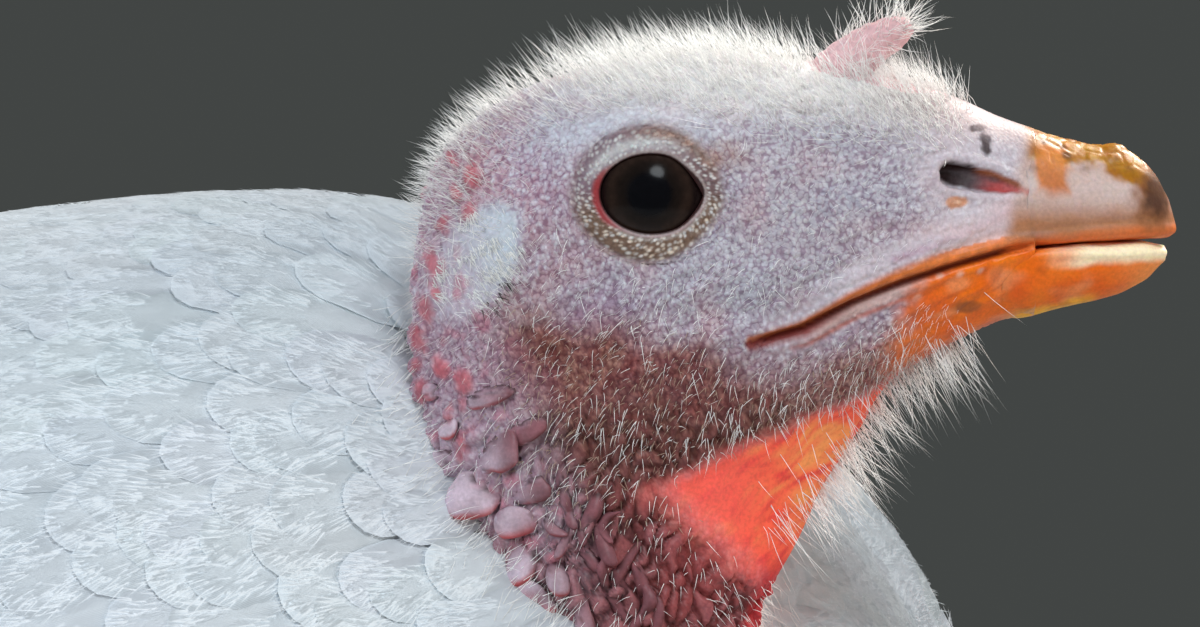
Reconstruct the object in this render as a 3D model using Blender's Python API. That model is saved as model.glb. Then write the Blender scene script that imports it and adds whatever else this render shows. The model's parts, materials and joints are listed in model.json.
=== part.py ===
"""A standing white domestic turkey hen, life size, with its neck drawn in and its head turned to its left.

Metres, +Z up. The bird faces +X, its right side is -Y, and the origin is on the floor under the
middle of its bounding box. Lengths below are in millimetres and are scaled by MM.
"""

import math

import bmesh
import bpy
import numpy as np
from mathutils import Matrix, Vector

MM = 0.001
GAP = 0.35  # clearance left between neighbouring solids

# Driving dimensions. Body lengths are measured forwards from the hips.
EYE_HEIGHT = 493.0
HEAD_FORWARD = 139.0  # the neck's axis, which the head turns about
HEAD_YAW = math.radians(45.0)
HEAD_PIVOT = -5.0  # the neck's axis in the head's own frame, behind the eyes
BREAST_FRONT = 214.0
TAIL_TIP = -486.0
HOCK = Vector((-44.0, 82.0, 132.0))
ANKLE = Vector((-18.0, 84.0, 17.0))

COLOURS = {
    "skin": (0.72, 0.62, 0.68),
    "neck_skin": (0.48, 0.22, 0.26),
    "plumage": (0.86, 0.88, 0.89),
    "horn": (0.83, 0.52, 0.22),
    "eye": (0.03, 0.02, 0.018),
    "shank": (0.80, 0.62, 0.55),
    "claw": (0.72, 0.62, 0.52),
}
ROUGHNESS = {"eye": 0.05, "horn": 0.35, "claw": 0.4, "shank": 0.55}


class Section:
    """One ring of a loft, in the plane through its top and bottom points and across the body."""

    def __init__(self, top, bottom, half_width, level=0.5, upper=2.0, lower=2.0):
        # level is the height of the widest line, as a share of the ring; upper and lower are the
        # superellipse powers of the two halves, under 2 for a pinched one.
        self.values = np.array([*top, *bottom, half_width, level, upper, lower], float)


def column(x, top, bottom, half_width, **more):
    """A section that stands upright at x."""
    return Section((x, top), (x, bottom), half_width, **more)


# The head, in its own frame: x forwards and z up from the point between the eyes.
HEAD_SECTIONS = [
    Section((45.2, 10.2), (45.2, -16.9), 8.8, 0.42, 2.3, 2.2),  # bill base
    Section((37.0, 15.2), (38.2, -20.6), 11.4, 0.42, 2.2, 2.2),  # nostrils
    Section((23.0, 20.2), (31.0, -25.5), 14.6, 0.44, 2.3, 2.0),  # snood
    Section((8.0, 22.0), (27.0, -32.0), 16.4, 0.50, 2.4, 1.7),  # front of the eyes
    Section((-7.0, 20.0), (24.0, -37.0), 17.4, 0.54, 2.4, 1.6),  # back of the eyes
    Section((-19.0, 14.5), (21.5, -41.5), 17.6, 0.56, 2.3, 1.6),  # ears
    Section((-28.0, 6.5), (19.6, -45.5), 16.8, 0.56, 2.2, 1.6),  # nape
    Section((-31.8, -6.0), (18.0, -48.6), 15.8, 0.56, 2.1, 1.7),
    Section((-32.2, -20.0), (16.6, -51.4), 15.2, 0.55, 2.0, 1.8),  # foot of the skull
]
NECK_SECTIONS = [
    Section((-32.0, -33.0), (15.4, -54.4), 15.2, 0.54, 2.0, 1.9),
    Section((-27.5, -45.0), (14.6, -58.4), 15.4, 0.52, 2.0, 2.0),
    Section((-20.5, -56.5), (14.2, -64.0), 15.6, 0.5, 2.0, 2.0),  # waist of the neck
    Section((-19.0, -72.0), (14.6, -76.0), 16.4, 0.5, 2.0, 2.0),
    Section((-21.0, -92.0), (17.0, -94.0), 18.5, 0.5, 2.0, 2.0),
    Section((-25.0, -112.0), (20.0, -113.0), 22.0, 0.5, 2.0, 2.0),  # root, in the breast
]
UPPER_BILL_SECTIONS = [
    column(45.6, 9.4, -7.5, 8.6, level=0.28, upper=2.0, lower=4.0),
    column(53.4, 7.1, -6.5, 7.2, level=0.25, upper=1.9, lower=4.0),
    column(60.0, 6.0, -6.1, 5.7, level=0.24, upper=1.9, lower=4.0),
    column(64.4, 3.6, -5.9, 4.0, level=0.25, upper=1.9, lower=3.0),
    column(67.2, -0.6, -5.8, 2.1, level=0.3, upper=1.9, lower=2.0),
    column(68.2, -3.6, -5.2, 0.8, level=0.5),
]
LOWER_BILL_SECTIONS = [
    column(45.6, -8.3, -16.6, 7.9, level=0.8, upper=4.0, lower=2.0),
    column(53.4, -7.1, -15.1, 6.6, level=0.8, upper=4.0, lower=2.0),
    column(60.0, -6.7, -13.6, 5.2, level=0.8, upper=4.0, lower=2.0),
    column(64.2, -6.6, -11.6, 3.7, level=0.75, upper=3.0, lower=2.0),
    column(67.0, -6.9, -8.9, 1.3, level=0.5),
]
# The mouth's line in the head, from the bill back to its corner.
MOUTH_LINE = [(47.0, -7.7), (39.0, -9.4), (32.0, -11.9), (25.5, -15.0), (19.5, -18.2), (14.5, -20.2)]
MOUTH_THICKNESS, MOUTH_REACH = 0.7, 30.0

EYE_CENTRE, EYE_HALF_SIZE = Vector((0.0, 12.4, 0.2)), Vector((8.8, 6.2, 6.7))
SNOOD_POINTS = [(21.0, 0.0, 15.5), (25.5, 0.0, 20.5), (29.5, 0.0, 23.6), (33.6, 0.0, 25.4)]
SNOOD_RADII = [3.4, 3.1, 2.5, 1.5]
EAR_CENTRE, EAR_HALF_SIZE = Vector((-21.6, 16.9, -9.0)), Vector((6.2, 1.3, 8.2))
EAR_LEAN = math.radians(32.0)

# The trunk with its plumage, in the body's frame: x forwards from the hips and z up from the floor.
TRUNK_SECTIONS = [
    column(BREAST_FRONT, 378, 352, 14),
    column(207, 402, 316, 44, level=0.45),
    column(191, 416, 277, 72, level=0.46),
    column(163, 426, 240, 94, level=0.48),
    column(138, 447, 220, 106, level=0.50, upper=1.9),
    column(112, 482, 206, 116, level=0.50, upper=1.8),
    column(86, 492, 197, 124, level=0.50, upper=1.9),
    column(30, 489, 188, 134, level=0.52, upper=2.2),
    column(-40, 474, 186, 136, level=0.54, upper=2.2),
    column(-115, 440, 199, 124, level=0.56, upper=2.1),
    column(-185, 396, 232, 96, level=0.56),
    column(-242, 364, 272, 66, level=0.55),
    column(-282, 342, 302, 40, level=0.5),
    column(-292, 334, 312, 20, level=0.5),
]
TAIL_SECTIONS = [
    column(-262, 343, 316, 34, upper=2.6, lower=2.6),
    column(-320, 325, 300, 47, upper=2.6, lower=2.6),
    column(-380, 303, 285, 57, upper=2.6, lower=2.6),
    column(-440, 280, 268, 62, upper=2.6, lower=2.6),
    column(-472, 268, 260, 52, upper=2.6, lower=2.6),
    column(TAIL_TIP, 262, 257, 26, upper=2.4, lower=2.4),
]
# Each leg's feathered thigh, as (x, y, z) centres with (along, across) half sizes.
THIGH_CENTRES = [(4, 70, 262), (0, 76, 226), (-13, 80, 190), (-32, 82, 158), (-43, 82, 134)]
THIGH_HALF_SIZES = [(52, 36), (46, 33), (34, 26), (21, 17), (12.5, 11.0)]
SHANK_RADII = (10.5, 7.6, 7.4, 9.5)
TOES = {  # length, angle from straight ahead, radius at the root
    "inner": (60.0, -34.0, 7.4),
    "middle": (80.0, 0.0, 8.2),
    "outer": (64.0, 33.0, 7.6),
    "hind": (27.0, 172.0, 6.2),
}
TOE_ROOT_AWAY = 9.5  # from the foot's centre to each toe's root
# Along a toe: the share of its length, its radius as a share of the root's, and how far its under
# side is above the floor. Where that is below 0 the toe is cut to a flat.
TOE_SHAPE = [(0.0, 1.0, 1.2), (0.3, 0.94, -0.4), (0.66, 0.86, -0.4), (1.0, 0.68, -0.3)]
CLAW_LENGTH, CLAW_RADIUS = 14.0, 3.3
CLAW_SHAPE = [(0.0, 1.0, 0.6), (0.5, 0.78, -0.2), (1.0, 0.21, -0.2)]

WING_SHOULDER, WING_TIP = 118.0, -262.0
WING_ENDS = (0.004, 0.996)  # just short of the two points, as shares of the length
WING_SPLIT = 0.47  # where the coverts end and the flight feathers begin
WING_SEAM = 0.0012  # half the gap between the two
WING_ROUND = 0.22  # the share of the length in which the shoulder opens to the full width
WING_TAPER = 0.45  # where the lower edge starts to rise towards the tip
WING_AXIS, WING_ABOVE, WING_BELOW = 58.0, 26.0, 46.0  # degrees round from the ridge of the back
WING_TIP_ABOVE, WING_TIP_BELOW = 4.0, 40.0  # how far the two edges swing up at the tip
WING_THICKNESS, WING_EDGE = 17.0, 3.0
WING_SINK = 6.0  # how far the uncut shell reaches into the trunk


def clear_scene():
    for obj in list(bpy.data.objects):
        bpy.data.objects.remove(obj, do_unlink=True)


def new_collection(name):
    collection = bpy.data.collections.new(name)
    bpy.context.scene.collection.children.link(collection)
    return collection


def material(name):
    made = bpy.data.materials.get(name)
    if made is None:
        made = bpy.data.materials.new(name)
        made.use_nodes = True
        shader = made.node_tree.nodes["Principled BSDF"]
        shader.inputs["Base Color"].default_value = (*COLOURS[name], 1.0)
        shader.inputs["Roughness"].default_value = ROUGHNESS.get(name, 0.7)
        shader.inputs["Metallic"].default_value = 0.0
    return made


def hermite(knots, values, t):
    """A smooth curve through values at knots, read at t."""
    knots, values = np.asarray(knots, float), np.asarray(values, float)
    slopes = np.gradient(values, knots, axis=0)
    i = int(np.clip(np.searchsorted(knots, t) - 1, 0, len(knots) - 2))
    span = knots[i + 1] - knots[i]
    u = (t - knots[i]) / span
    return (
        (2 * u**3 - 3 * u**2 + 1) * values[i]
        + (u**3 - 2 * u**2 + u) * span * slopes[i]
        + (3 * u**2 - 2 * u**3) * values[i + 1]
        + (u**3 - u**2) * span * slopes[i + 1]
    )


def section_at(sections, t):
    return hermite(np.arange(len(sections)), [s.values for s in sections], t)


def ring_point(values, angle, grow=0.0):
    """The point of a section at an angle from its top, grown outwards by grow."""
    top, bottom = np.array(values[:2]), np.array(values[2:4])
    half_width, level, upper, lower = values[4:]
    height = np.linalg.norm(top - bottom)
    up = (top - bottom) / height
    waist = bottom + up * height * level
    c, s = math.cos(angle), math.sin(angle)
    power = upper if c > 0 else lower
    reach = height * (1 - level) if c > 0 else height * level
    along = math.copysign(abs(c) ** (2 / power), c) * (reach + grow)
    across = math.copysign(abs(s) ** (2 / power), s) * (half_width + grow)
    return Vector((waist[0] + up[0] * along, across, waist[1] + up[1] * along))


def mesh_of_rings(name, rings):
    """A closed mesh through rings of equal count, with its two ends filled."""
    bm = bmesh.new()
    loops = [[bm.verts.new(Vector(p) * MM) for p in ring] for ring in rings]
    count = len(loops[0])
    for one, two in zip(loops, loops[1:]):
        for i in range(count):
            j = (i + 1) % count
            bm.faces.new((one[i], one[j], two[j], two[i]))
    bm.faces.new(list(reversed(loops[0])))
    bm.faces.new(loops[-1])
    bmesh.ops.recalc_face_normals(bm, faces=bm.faces)
    bmesh.ops.triangulate(bm, faces=bm.faces)  # so that a cutter's copy bends along the same edges
    mesh = bpy.data.meshes.new(name)
    bm.to_mesh(mesh)
    bm.free()
    return mesh


def add_object(name, mesh, material_name, collection, parent=None):
    obj = bpy.data.objects.new(name, mesh)
    mesh.materials.append(material(material_name))
    mesh.shade_smooth()
    mesh.set_sharp_from_angle(angle=math.radians(50))
    collection.objects.link(obj)
    obj.parent = parent
    return obj


def loft(name, sections, material_name, parts, parent, start=0.0, end=None, per_span=2, around=24):
    end = len(sections) - 1 if end is None else end
    steps = max(2, round((end - start) * per_span))
    rings = []
    for t in np.linspace(start, end, steps + 1):
        values = section_at(sections, t)
        rings.append([ring_point(values, 2 * math.pi * i / around) for i in range(around)])
    return add_object(name, mesh_of_rings(name, rings), material_name, parts, parent)


def tube(name, centres, half_sizes, material_name, parts, parent, per_span=2, around=12):
    """A loft of level ellipses around centres, for a limb that runs down."""
    rings = []
    knots = np.arange(len(centres))
    for t in np.linspace(0, len(centres) - 1, (len(centres) - 1) * per_span + 1):
        x, y, z = hermite(knots, centres, t)
        along, across = hermite(knots, half_sizes, t)
        angles = [2 * math.pi * i / around for i in range(around)]
        rings.append([(x + along * math.cos(a), y + across * math.sin(a), z) for a in angles])
    return add_object(name, mesh_of_rings(name, rings), material_name, parts, parent)


def curve_solid(name, points, radii, material_name, parts, parent):
    """A round rod through points, as a closed mesh with welded caps."""
    curve = bpy.data.curves.new(name, "CURVE")
    curve.dimensions = "3D"
    curve.bevel_depth = MM
    curve.bevel_resolution = 3
    curve.use_fill_caps = True
    curve.resolution_u = 2
    spline = curve.splines.new("BEZIER")
    spline.bezier_points.add(len(points) - 1)
    for knot, point, radius in zip(spline.bezier_points, points, radii):
        knot.co = Vector(point) * MM
        knot.radius = radius
        knot.handle_left_type = knot.handle_right_type = "AUTO"
    guide = bpy.data.objects.new(name + "_curve", curve)
    parts.objects.link(guide)
    bpy.context.view_layer.update()
    graph = bpy.context.evaluated_depsgraph_get()
    mesh = bpy.data.meshes.new_from_object(guide.evaluated_get(graph))
    bpy.data.objects.remove(guide)
    bm = bmesh.new()
    bm.from_mesh(mesh)
    bmesh.ops.remove_doubles(bm, verts=bm.verts, dist=0.00002)
    bmesh.ops.recalc_face_normals(bm, faces=bm.faces)
    bm.to_mesh(mesh)
    bm.free()
    mesh.materials.clear()
    return add_object(name, mesh, material_name, parts, parent)


def ellipsoid(name, centre, half_sizes, material_name, parts, parent, segments, rings, lean=0.0):
    bm = bmesh.new()
    bmesh.ops.create_uvsphere(bm, u_segments=segments, v_segments=rings, radius=MM)
    bmesh.ops.rotate(bm, verts=bm.verts, cent=(0, 0, 0), matrix=Matrix.Rotation(math.pi / 2, 3, "X"))
    bmesh.ops.scale(bm, verts=bm.verts, vec=half_sizes)
    bmesh.ops.rotate(bm, verts=bm.verts, cent=(0, 0, 0), matrix=Matrix.Rotation(lean, 3, "Y"))
    mesh = bpy.data.meshes.new(name)
    bm.to_mesh(mesh)
    bm.free()
    obj = add_object(name, mesh, material_name, parts, parent)
    obj.location = Vector(centre) * MM
    return obj


def difference(target, cutter, name, cutters):
    cutter.hide_render = True
    cutter.display_type = "WIRE"
    cutters.objects.link(cutter)
    boolean = target.modifiers.new(name, "BOOLEAN")
    boolean.operation = "DIFFERENCE"
    boolean.solver = "EXACT"
    boolean.object = cutter


def cut_by(target, other, cutters, gap=GAP):
    """Takes other, grown by gap, out of target."""
    mesh = other.data.copy()
    bm = bmesh.new()
    bm.from_mesh(mesh)
    bm.normal_update()
    moves = [v.normal * gap * MM for v in bm.verts]
    for vert, move in zip(bm.verts, moves):
        vert.co += move
    bm.to_mesh(mesh)
    bm.free()
    cutter = bpy.data.objects.new(f"clearance_{other.name}_{target.name}", mesh)
    cutter.parent = other.parent
    cutter.matrix_basis = other.matrix_basis
    difference(target, cutter, "clear_" + other.name, cutters)


def make_head(parts, cutters, head_frame):
    head = loft("head", HEAD_SECTIONS, "skin", parts, head_frame)
    ears = []
    for side, sign in (("left", 1), ("right", -1)):
        eye = ellipsoid(
            "eye_" + side,
            (EYE_CENTRE.x, sign * EYE_CENTRE.y, EYE_CENTRE.z),
            EYE_HALF_SIZE,
            "eye",
            parts,
            head_frame,
            segments=16,
            rings=8,
        )
        cut_by(head, eye, cutters)
        ear = ellipsoid(
            "ear_coverts_" + side,
            (EAR_CENTRE.x, sign * EAR_CENTRE.y, EAR_CENTRE.z),
            EAR_HALF_SIZE,
            "plumage",
            parts,
            head_frame,
            segments=12,
            rings=6,
            lean=EAR_LEAN,
        )
        ears.append(ear)
        cut_by(head, ear, cutters)
    difference(head, mouth_cutter(head_frame), "mouth", cutters)
    snood = curve_solid("snood", SNOOD_POINTS, SNOOD_RADII, "skin", parts, head_frame)
    cut_by(head, snood, cutters)
    return head, ears


def mouth_cutter(head_frame):
    """A thin curved slab along the mouth's line, wider than the head."""
    half, reach = MOUTH_THICKNESS / 2, MOUTH_REACH
    corners = ((-reach, -half), (reach, -half), (reach, half), (-reach, half))
    rings = [[(x, y, z + up) for y, up in corners] for x, z in MOUTH_LINE]
    slit = bpy.data.objects.new("mouth_slit", mesh_of_rings("mouth_slit", rings))
    slit.parent = head_frame
    return slit


def make_bill(parts, head_frame):
    loft("upper_bill", UPPER_BILL_SECTIONS, "horn", parts, head_frame, around=16)
    loft("lower_bill", LOWER_BILL_SECTIONS, "horn", parts, head_frame, around=16)


def trunk_surface(x, angle, grow=0.0):
    """The trunk's surface at a distance x forwards of the hips and an angle from its ridge."""
    front, back = 0.0, len(TRUNK_SECTIONS) - 1.0
    for _ in range(30):
        middle = (front + back) / 2
        if section_at(TRUNK_SECTIONS, middle)[0] > x:
            front = middle
        else:
            back = middle
    return ring_point(section_at(TRUNK_SECTIONS, front), angle, grow)


def wing_point(along, chord, height):
    """A point of the right wing: along from shoulder to tip, chord from its upper edge to its lower."""
    x = WING_SHOULDER + (WING_TIP - WING_SHOULDER) * along
    lead = math.sin(math.pi / 2 * min(1.0, along / WING_ROUND)) ** 0.8
    fade = max(0.0, along - WING_TAPER) / (1 - WING_TAPER)
    upper = WING_AXIS - WING_ABOVE * lead - WING_TIP_ABOVE * fade
    lower = WING_AXIS + WING_BELOW * lead - WING_TIP_BELOW * fade**1.6
    angle = upper + (lower - upper) * chord
    point = trunk_surface(x, math.radians(angle), height)
    return Vector((point.x, -point.y, point.z))


def make_wing_piece(name, side, start, end, parts, root, steps=9, chords=7):
    """A shell that lies on the trunk, thick in the middle and thin at its edges."""
    rings = []
    for along in np.linspace(start, end, steps):
        swell = math.sin(math.pi * along**0.62) ** 0.7 if 0 < along < 1 else 0.0
        outer, inner = [], []
        for chord in np.linspace(0, 1, chords):
            crown = math.sin(math.pi * chord) ** 0.6
            height = WING_EDGE + (WING_THICKNESS - WING_EDGE) * swell * crown
            outer.append(wing_point(along, chord, height))
            inner.append(wing_point(along, chord, -WING_SINK))
        ring = outer + inner[::-1]
        rings.append([(p.x, p.y * (1 if side == "right" else -1), p.z) for p in ring])
    return add_object(name, mesh_of_rings(name, rings), "plumage", parts, root)


def make_wings(trunk, parts, cutters, root):
    front, back = WING_ENDS
    spans = {"coverts": (front, WING_SPLIT - WING_SEAM), "flights": (WING_SPLIT + WING_SEAM, back)}
    for side in ("left", "right"):
        for piece, (start, end) in spans.items():
            wing = make_wing_piece(f"wing_{piece}_{side}", side, start, end, parts, root)
            cut_by(wing, trunk, cutters)


def floor_clip(obj):
    """Flattens what reaches below the floor, so that a toe or a claw rests on a small flat."""
    bm = bmesh.new()
    bm.from_mesh(obj.data)
    everything = bm.verts[:] + bm.edges[:] + bm.faces[:]
    down = (0, 0, -1)
    cut = bmesh.ops.bisect_plane(bm, geom=everything, plane_co=(0, 0, 0), plane_no=down, clear_outer=True)
    edges = [e for e in cut["geom_cut"] if isinstance(e, bmesh.types.BMEdge)]
    if edges:
        bmesh.ops.holes_fill(bm, edges=edges, sides=0)
        bmesh.ops.recalc_face_normals(bm, faces=bm.faces)
    bm.to_mesh(obj.data)
    bm.free()


def floor_rod(name, start, ahead, length, radius, shape, material_name, parts, root):
    """A tapered rod that lies along the floor."""
    points, radii = [], []
    for share, size, lift in shape:
        radii.append(radius * size)
        points.append(start + ahead * length * share + Vector((0, 0, radius * size + lift)))
    rod = curve_solid(name, points, radii, material_name, parts, root)
    floor_clip(rod)
    return rod


def make_toe(name, side_sign, side, parts, root):
    length, angle, radius = TOES[name]
    heading = math.radians(angle) * side_sign
    ahead = Vector((math.cos(heading), math.sin(heading), 0))
    foot = Vector((ANKLE.x, ANKLE.y * side_sign, 0))
    start = foot + ahead * (TOE_ROOT_AWAY + GAP)
    toe = floor_rod(f"toe_{name}_{side}", start, ahead, length, radius, TOE_SHAPE, "shank", parts, root)
    tip = start + ahead * (length + GAP * 2)
    floor_rod(f"claw_{name}_{side}", tip, ahead, CLAW_LENGTH, CLAW_RADIUS, CLAW_SHAPE, "claw", parts, root)
    return toe


def make_leg(side, sign, trunk, parts, cutters, root):
    centres = [(x, y * sign, z) for x, y, z in THIGH_CENTRES]
    thigh = tube("thigh_" + side, centres, THIGH_HALF_SIZES, "plumage", parts, root)
    cut_by(thigh, trunk, cutters)
    hock = Vector((HOCK.x, HOCK.y * sign, HOCK.z - GAP * 2))
    ankle = Vector((ANKLE.x, ANKLE.y * sign, ANKLE.z))
    along = [hock, hock.lerp(ankle, 0.28), hock.lerp(ankle, 0.72), ankle]
    shank = curve_solid("shank_" + side, along, SHANK_RADII, "shank", parts, root)
    cut_by(shank, thigh, cutters)
    toes = {name: make_toe(name, sign, side, parts, root) for name in TOES}
    for name in ("inner", "outer"):
        cut_by(toes[name], toes["middle"], cutters)
    for toe in toes.values():
        cut_by(shank, toe, cutters)


def build():
    clear_scene()
    parts = new_collection("turkey")
    cutters = new_collection("cutters")
    root = bpy.data.objects.new("turkey_root", None)
    head_frame = bpy.data.objects.new("head_frame", None)
    for empty in (root, head_frame):
        parts.objects.link(empty)
    root.location.x = -(BREAST_FRONT + TAIL_TIP) / 2 * MM
    head_frame.parent = root
    turn = Matrix.Rotation(HEAD_YAW, 4, "Z")
    placed = Matrix.Translation(Vector((HEAD_FORWARD, 0, EYE_HEIGHT)) * MM)
    head_frame.matrix_local = placed @ turn @ Matrix.Translation(Vector((-HEAD_PIVOT, 0, 0)) * MM)

    head, ears = make_head(parts, cutters, head_frame)
    make_bill(parts, head_frame)
    whole = HEAD_SECTIONS + NECK_SECTIONS
    joint = len(HEAD_SECTIONS) - 1
    neck = loft("neck", whole, "neck_skin", parts, head_frame, start=joint + 0.03)
    trunk = loft("trunk", TRUNK_SECTIONS, "plumage", parts, root)
    for other in (neck, head, *ears):
        cut_by(trunk, other, cutters)
    make_wings(trunk, parts, cutters, root)
    tail = loft("tail", TAIL_SECTIONS, "plumage", parts, root, around=18)
    cut_by(tail, trunk, cutters)
    for side, sign in (("left", 1), ("right", -1)):
        make_leg(side, sign, trunk, parts, cutters, root)


build()
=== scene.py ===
"""The looks of a standing white domestic turkey hen: skin, eyes, bill, plumage, legs, studio.

Shapes are worked out in millimetres, in the head's or the body's own frame, and placed by the
frame's nodes. In the head's frame x is forwards, y to the bird's left and z up from between the eyes.
"""

import json
import math
from itertools import product
from types import SimpleNamespace

import bmesh
import bpy
import numpy as np
from mathutils import Matrix, Vector, noise
from mathutils.bvhtree import BVHTree

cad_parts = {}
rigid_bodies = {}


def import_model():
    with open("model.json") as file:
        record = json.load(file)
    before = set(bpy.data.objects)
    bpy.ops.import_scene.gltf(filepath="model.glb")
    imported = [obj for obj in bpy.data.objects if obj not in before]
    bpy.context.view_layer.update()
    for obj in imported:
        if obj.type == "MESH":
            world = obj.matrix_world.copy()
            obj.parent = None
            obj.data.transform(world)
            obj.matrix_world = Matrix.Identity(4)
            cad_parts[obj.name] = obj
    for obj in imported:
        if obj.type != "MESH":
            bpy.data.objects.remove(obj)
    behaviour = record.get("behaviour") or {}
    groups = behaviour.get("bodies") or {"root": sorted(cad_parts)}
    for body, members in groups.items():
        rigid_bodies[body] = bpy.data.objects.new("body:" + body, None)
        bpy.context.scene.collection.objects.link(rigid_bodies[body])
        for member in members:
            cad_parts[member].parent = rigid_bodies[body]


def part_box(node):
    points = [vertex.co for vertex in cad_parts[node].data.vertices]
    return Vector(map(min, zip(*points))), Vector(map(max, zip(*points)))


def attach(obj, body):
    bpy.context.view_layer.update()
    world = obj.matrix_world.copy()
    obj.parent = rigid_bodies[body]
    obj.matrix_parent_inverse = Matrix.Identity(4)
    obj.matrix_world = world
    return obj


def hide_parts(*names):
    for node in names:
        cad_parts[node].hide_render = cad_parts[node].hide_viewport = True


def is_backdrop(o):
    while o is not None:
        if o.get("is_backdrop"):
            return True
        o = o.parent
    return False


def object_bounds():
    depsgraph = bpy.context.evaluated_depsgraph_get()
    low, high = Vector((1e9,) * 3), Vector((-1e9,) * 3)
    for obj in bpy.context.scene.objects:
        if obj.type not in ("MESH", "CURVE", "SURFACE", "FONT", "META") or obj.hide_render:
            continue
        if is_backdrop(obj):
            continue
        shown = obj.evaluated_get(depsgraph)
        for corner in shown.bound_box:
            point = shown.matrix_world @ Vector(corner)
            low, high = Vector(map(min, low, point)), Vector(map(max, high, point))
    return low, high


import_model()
CAD_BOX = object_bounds()
MM = 0.001
PIECE_TRIANGLES = 190000  # the most in one mesh of feathers, barbs or hairs
rng = np.random.default_rng(7)


# ---------------------------------------------------------------- frames

def middle(node):
    low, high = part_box(node)
    return (Vector(low) + Vector(high)) / 2


EYE_RISE = 0.2  # the eyes' middle above the head frame's origin
BREAST_FRONT = 214.0  # how far in front of the body frame's origin the breast reaches
side_axis = (middle("eye_left") - middle("eye_right")).normalized()
fore_axis = Vector((side_axis.y, -side_axis.x, 0.0))
head_origin = (middle("eye_left") + middle("eye_right")) / 2 - Vector((0, 0, EYE_RISE * MM))
HEAD = Matrix((fore_axis, side_axis, Vector((0, 0, 1)))).transposed().to_4x4()
HEAD.translation = head_origin
BODY = Matrix.Translation((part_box("trunk")[1][0] - BREAST_FRONT * MM, 0, 0))


def placed(points, matrix):
    """Millimetres in a frame to metres in the world."""
    turn = np.array(matrix.to_3x3())
    return np.asarray(points) * MM @ turn.T + np.array(matrix.translation)


def local(points, matrix):
    """Metres in the world to millimetres in a frame."""
    turn = np.array(matrix.to_3x3())
    return (np.asarray(points) - np.array(matrix.translation)) @ turn / MM


# ---------------------------------------------------------------- numbers

def smooth(low, high, value):
    """From 0 at low to 1 at high, with soft ends; low may be the larger."""
    t = np.clip((value - low) / (high - low), 0, 1)
    return t * t * (3 - 2 * t)


def mix(a, b, share):
    """From a to b by share; a and b are numbers, one number a point, or colours."""
    a, b, share = np.asarray(a), np.asarray(b), np.asarray(share)
    coloured = (a.ndim > 0 and a.shape[-1] == 3) or (b.ndim > 0 and b.shape[-1] == 3)
    if coloured and share.ndim:
        share = share[..., None]
    return a + (b - a) * share


def layered(colour, *layers):
    """A colour with others laid over it in turn: each layer is a colour and how much of it shows."""
    for over, share in layers:
        colour = mix(colour, over, share)
    return colour


def bell(value, width):
    """1 where the value is 0, falling off on both sides."""
    return np.exp(-(value / width) ** 2)


def unit(vectors):
    return vectors / np.maximum(np.linalg.norm(vectors, axis=-1, keepdims=True), 1e-9)


def ripple(points, size, seed=0.0):
    """Smooth noise from about -1 to 1, with lumps of that size."""
    shift = Vector((seed * 17.3, seed * -9.1, seed * 5.7))
    scaled = (np.asarray(points) / size).tolist()
    return np.array([noise.noise(Vector(p) + shift) for p in scaled])


def drift(points, size, seed):
    """A smooth shift for each point, up to about 1 each way."""
    return np.stack([ripple(points, size, seed + k) for k in range(3)], axis=1)


def strands(points, run, over, scale):
    """Points turned in the side view and squeezed, so that noise read there runs in strands."""
    turned = [points @ np.array((run[0], 0.0, run[1])), points[:, 1],
              points @ np.array((over[0], 0.0, over[1]))]
    return np.stack(turned, axis=1) * np.array(scale)


def sided(points):
    """x, the distance from the middle, and z: the two sides are alike."""
    return points[:, 0], np.abs(points[:, 1]), points[:, 2]


def cells(points, size, seed=0.0):
    """Distances to the nearest and next of scattered points, in cells, and a number for each cell."""
    shift = Vector((seed * 17.3, seed * -9.1, seed * 5.7))
    near, nearer, mark = [], [], []
    for p in (np.asarray(points) / size).tolist():
        distances, centres = noise.voronoi(Vector(p) + shift)
        near.append(distances[1])
        nearer.append(distances[0])
        mark.append(centres[0].x * 7.13 + centres[0].y * 3.71 + centres[0].z * 5.17)
    return np.array(nearer), np.array(near), np.array(mark) % 1.0


def blob(points, centre, reach):
    """A soft bump round a point, the same on both sides of the head."""
    x, y, z = sided(points)
    return np.exp(-((x - centre[0]) / reach[0]) ** 2 - ((y - centre[1]) / reach[1]) ** 2
                  - ((z - centre[2]) / reach[2]) ** 2)


def hermite(knots, values, at):
    """Smooth curves through values at knots, read at many places."""
    knots, values, at = np.asarray(knots, float), np.asarray(values, float), np.asarray(at, float)
    slopes = np.gradient(values, knots, axis=0)
    i = np.clip(np.searchsorted(knots, at) - 1, 0, len(knots) - 2)
    span = knots[i + 1] - knots[i]
    u = (at - knots[i]) / span
    if values.ndim > 1:
        u, span = u[:, None], span[:, None]
    return ((2 * u**3 - 3 * u**2 + 1) * values[i] + (u**3 - 2 * u**2 + u) * span * slopes[i]
            + (3 * u**2 - 2 * u**3) * values[i + 1] + (u**3 - u**2) * span * slopes[i + 1])


# ---------------------------------------------------------------- lofts

def section(top, bottom, half_width, level=0.5, upper=2.0, lower=2.0):
    """A ring in the plane through its top and bottom points: see ring_points."""
    return [*top, *bottom, half_width, level, upper, lower]


def column(x, top, bottom, half_width, **more):
    return section((x, top), (x, bottom), half_width, **more)


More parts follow.
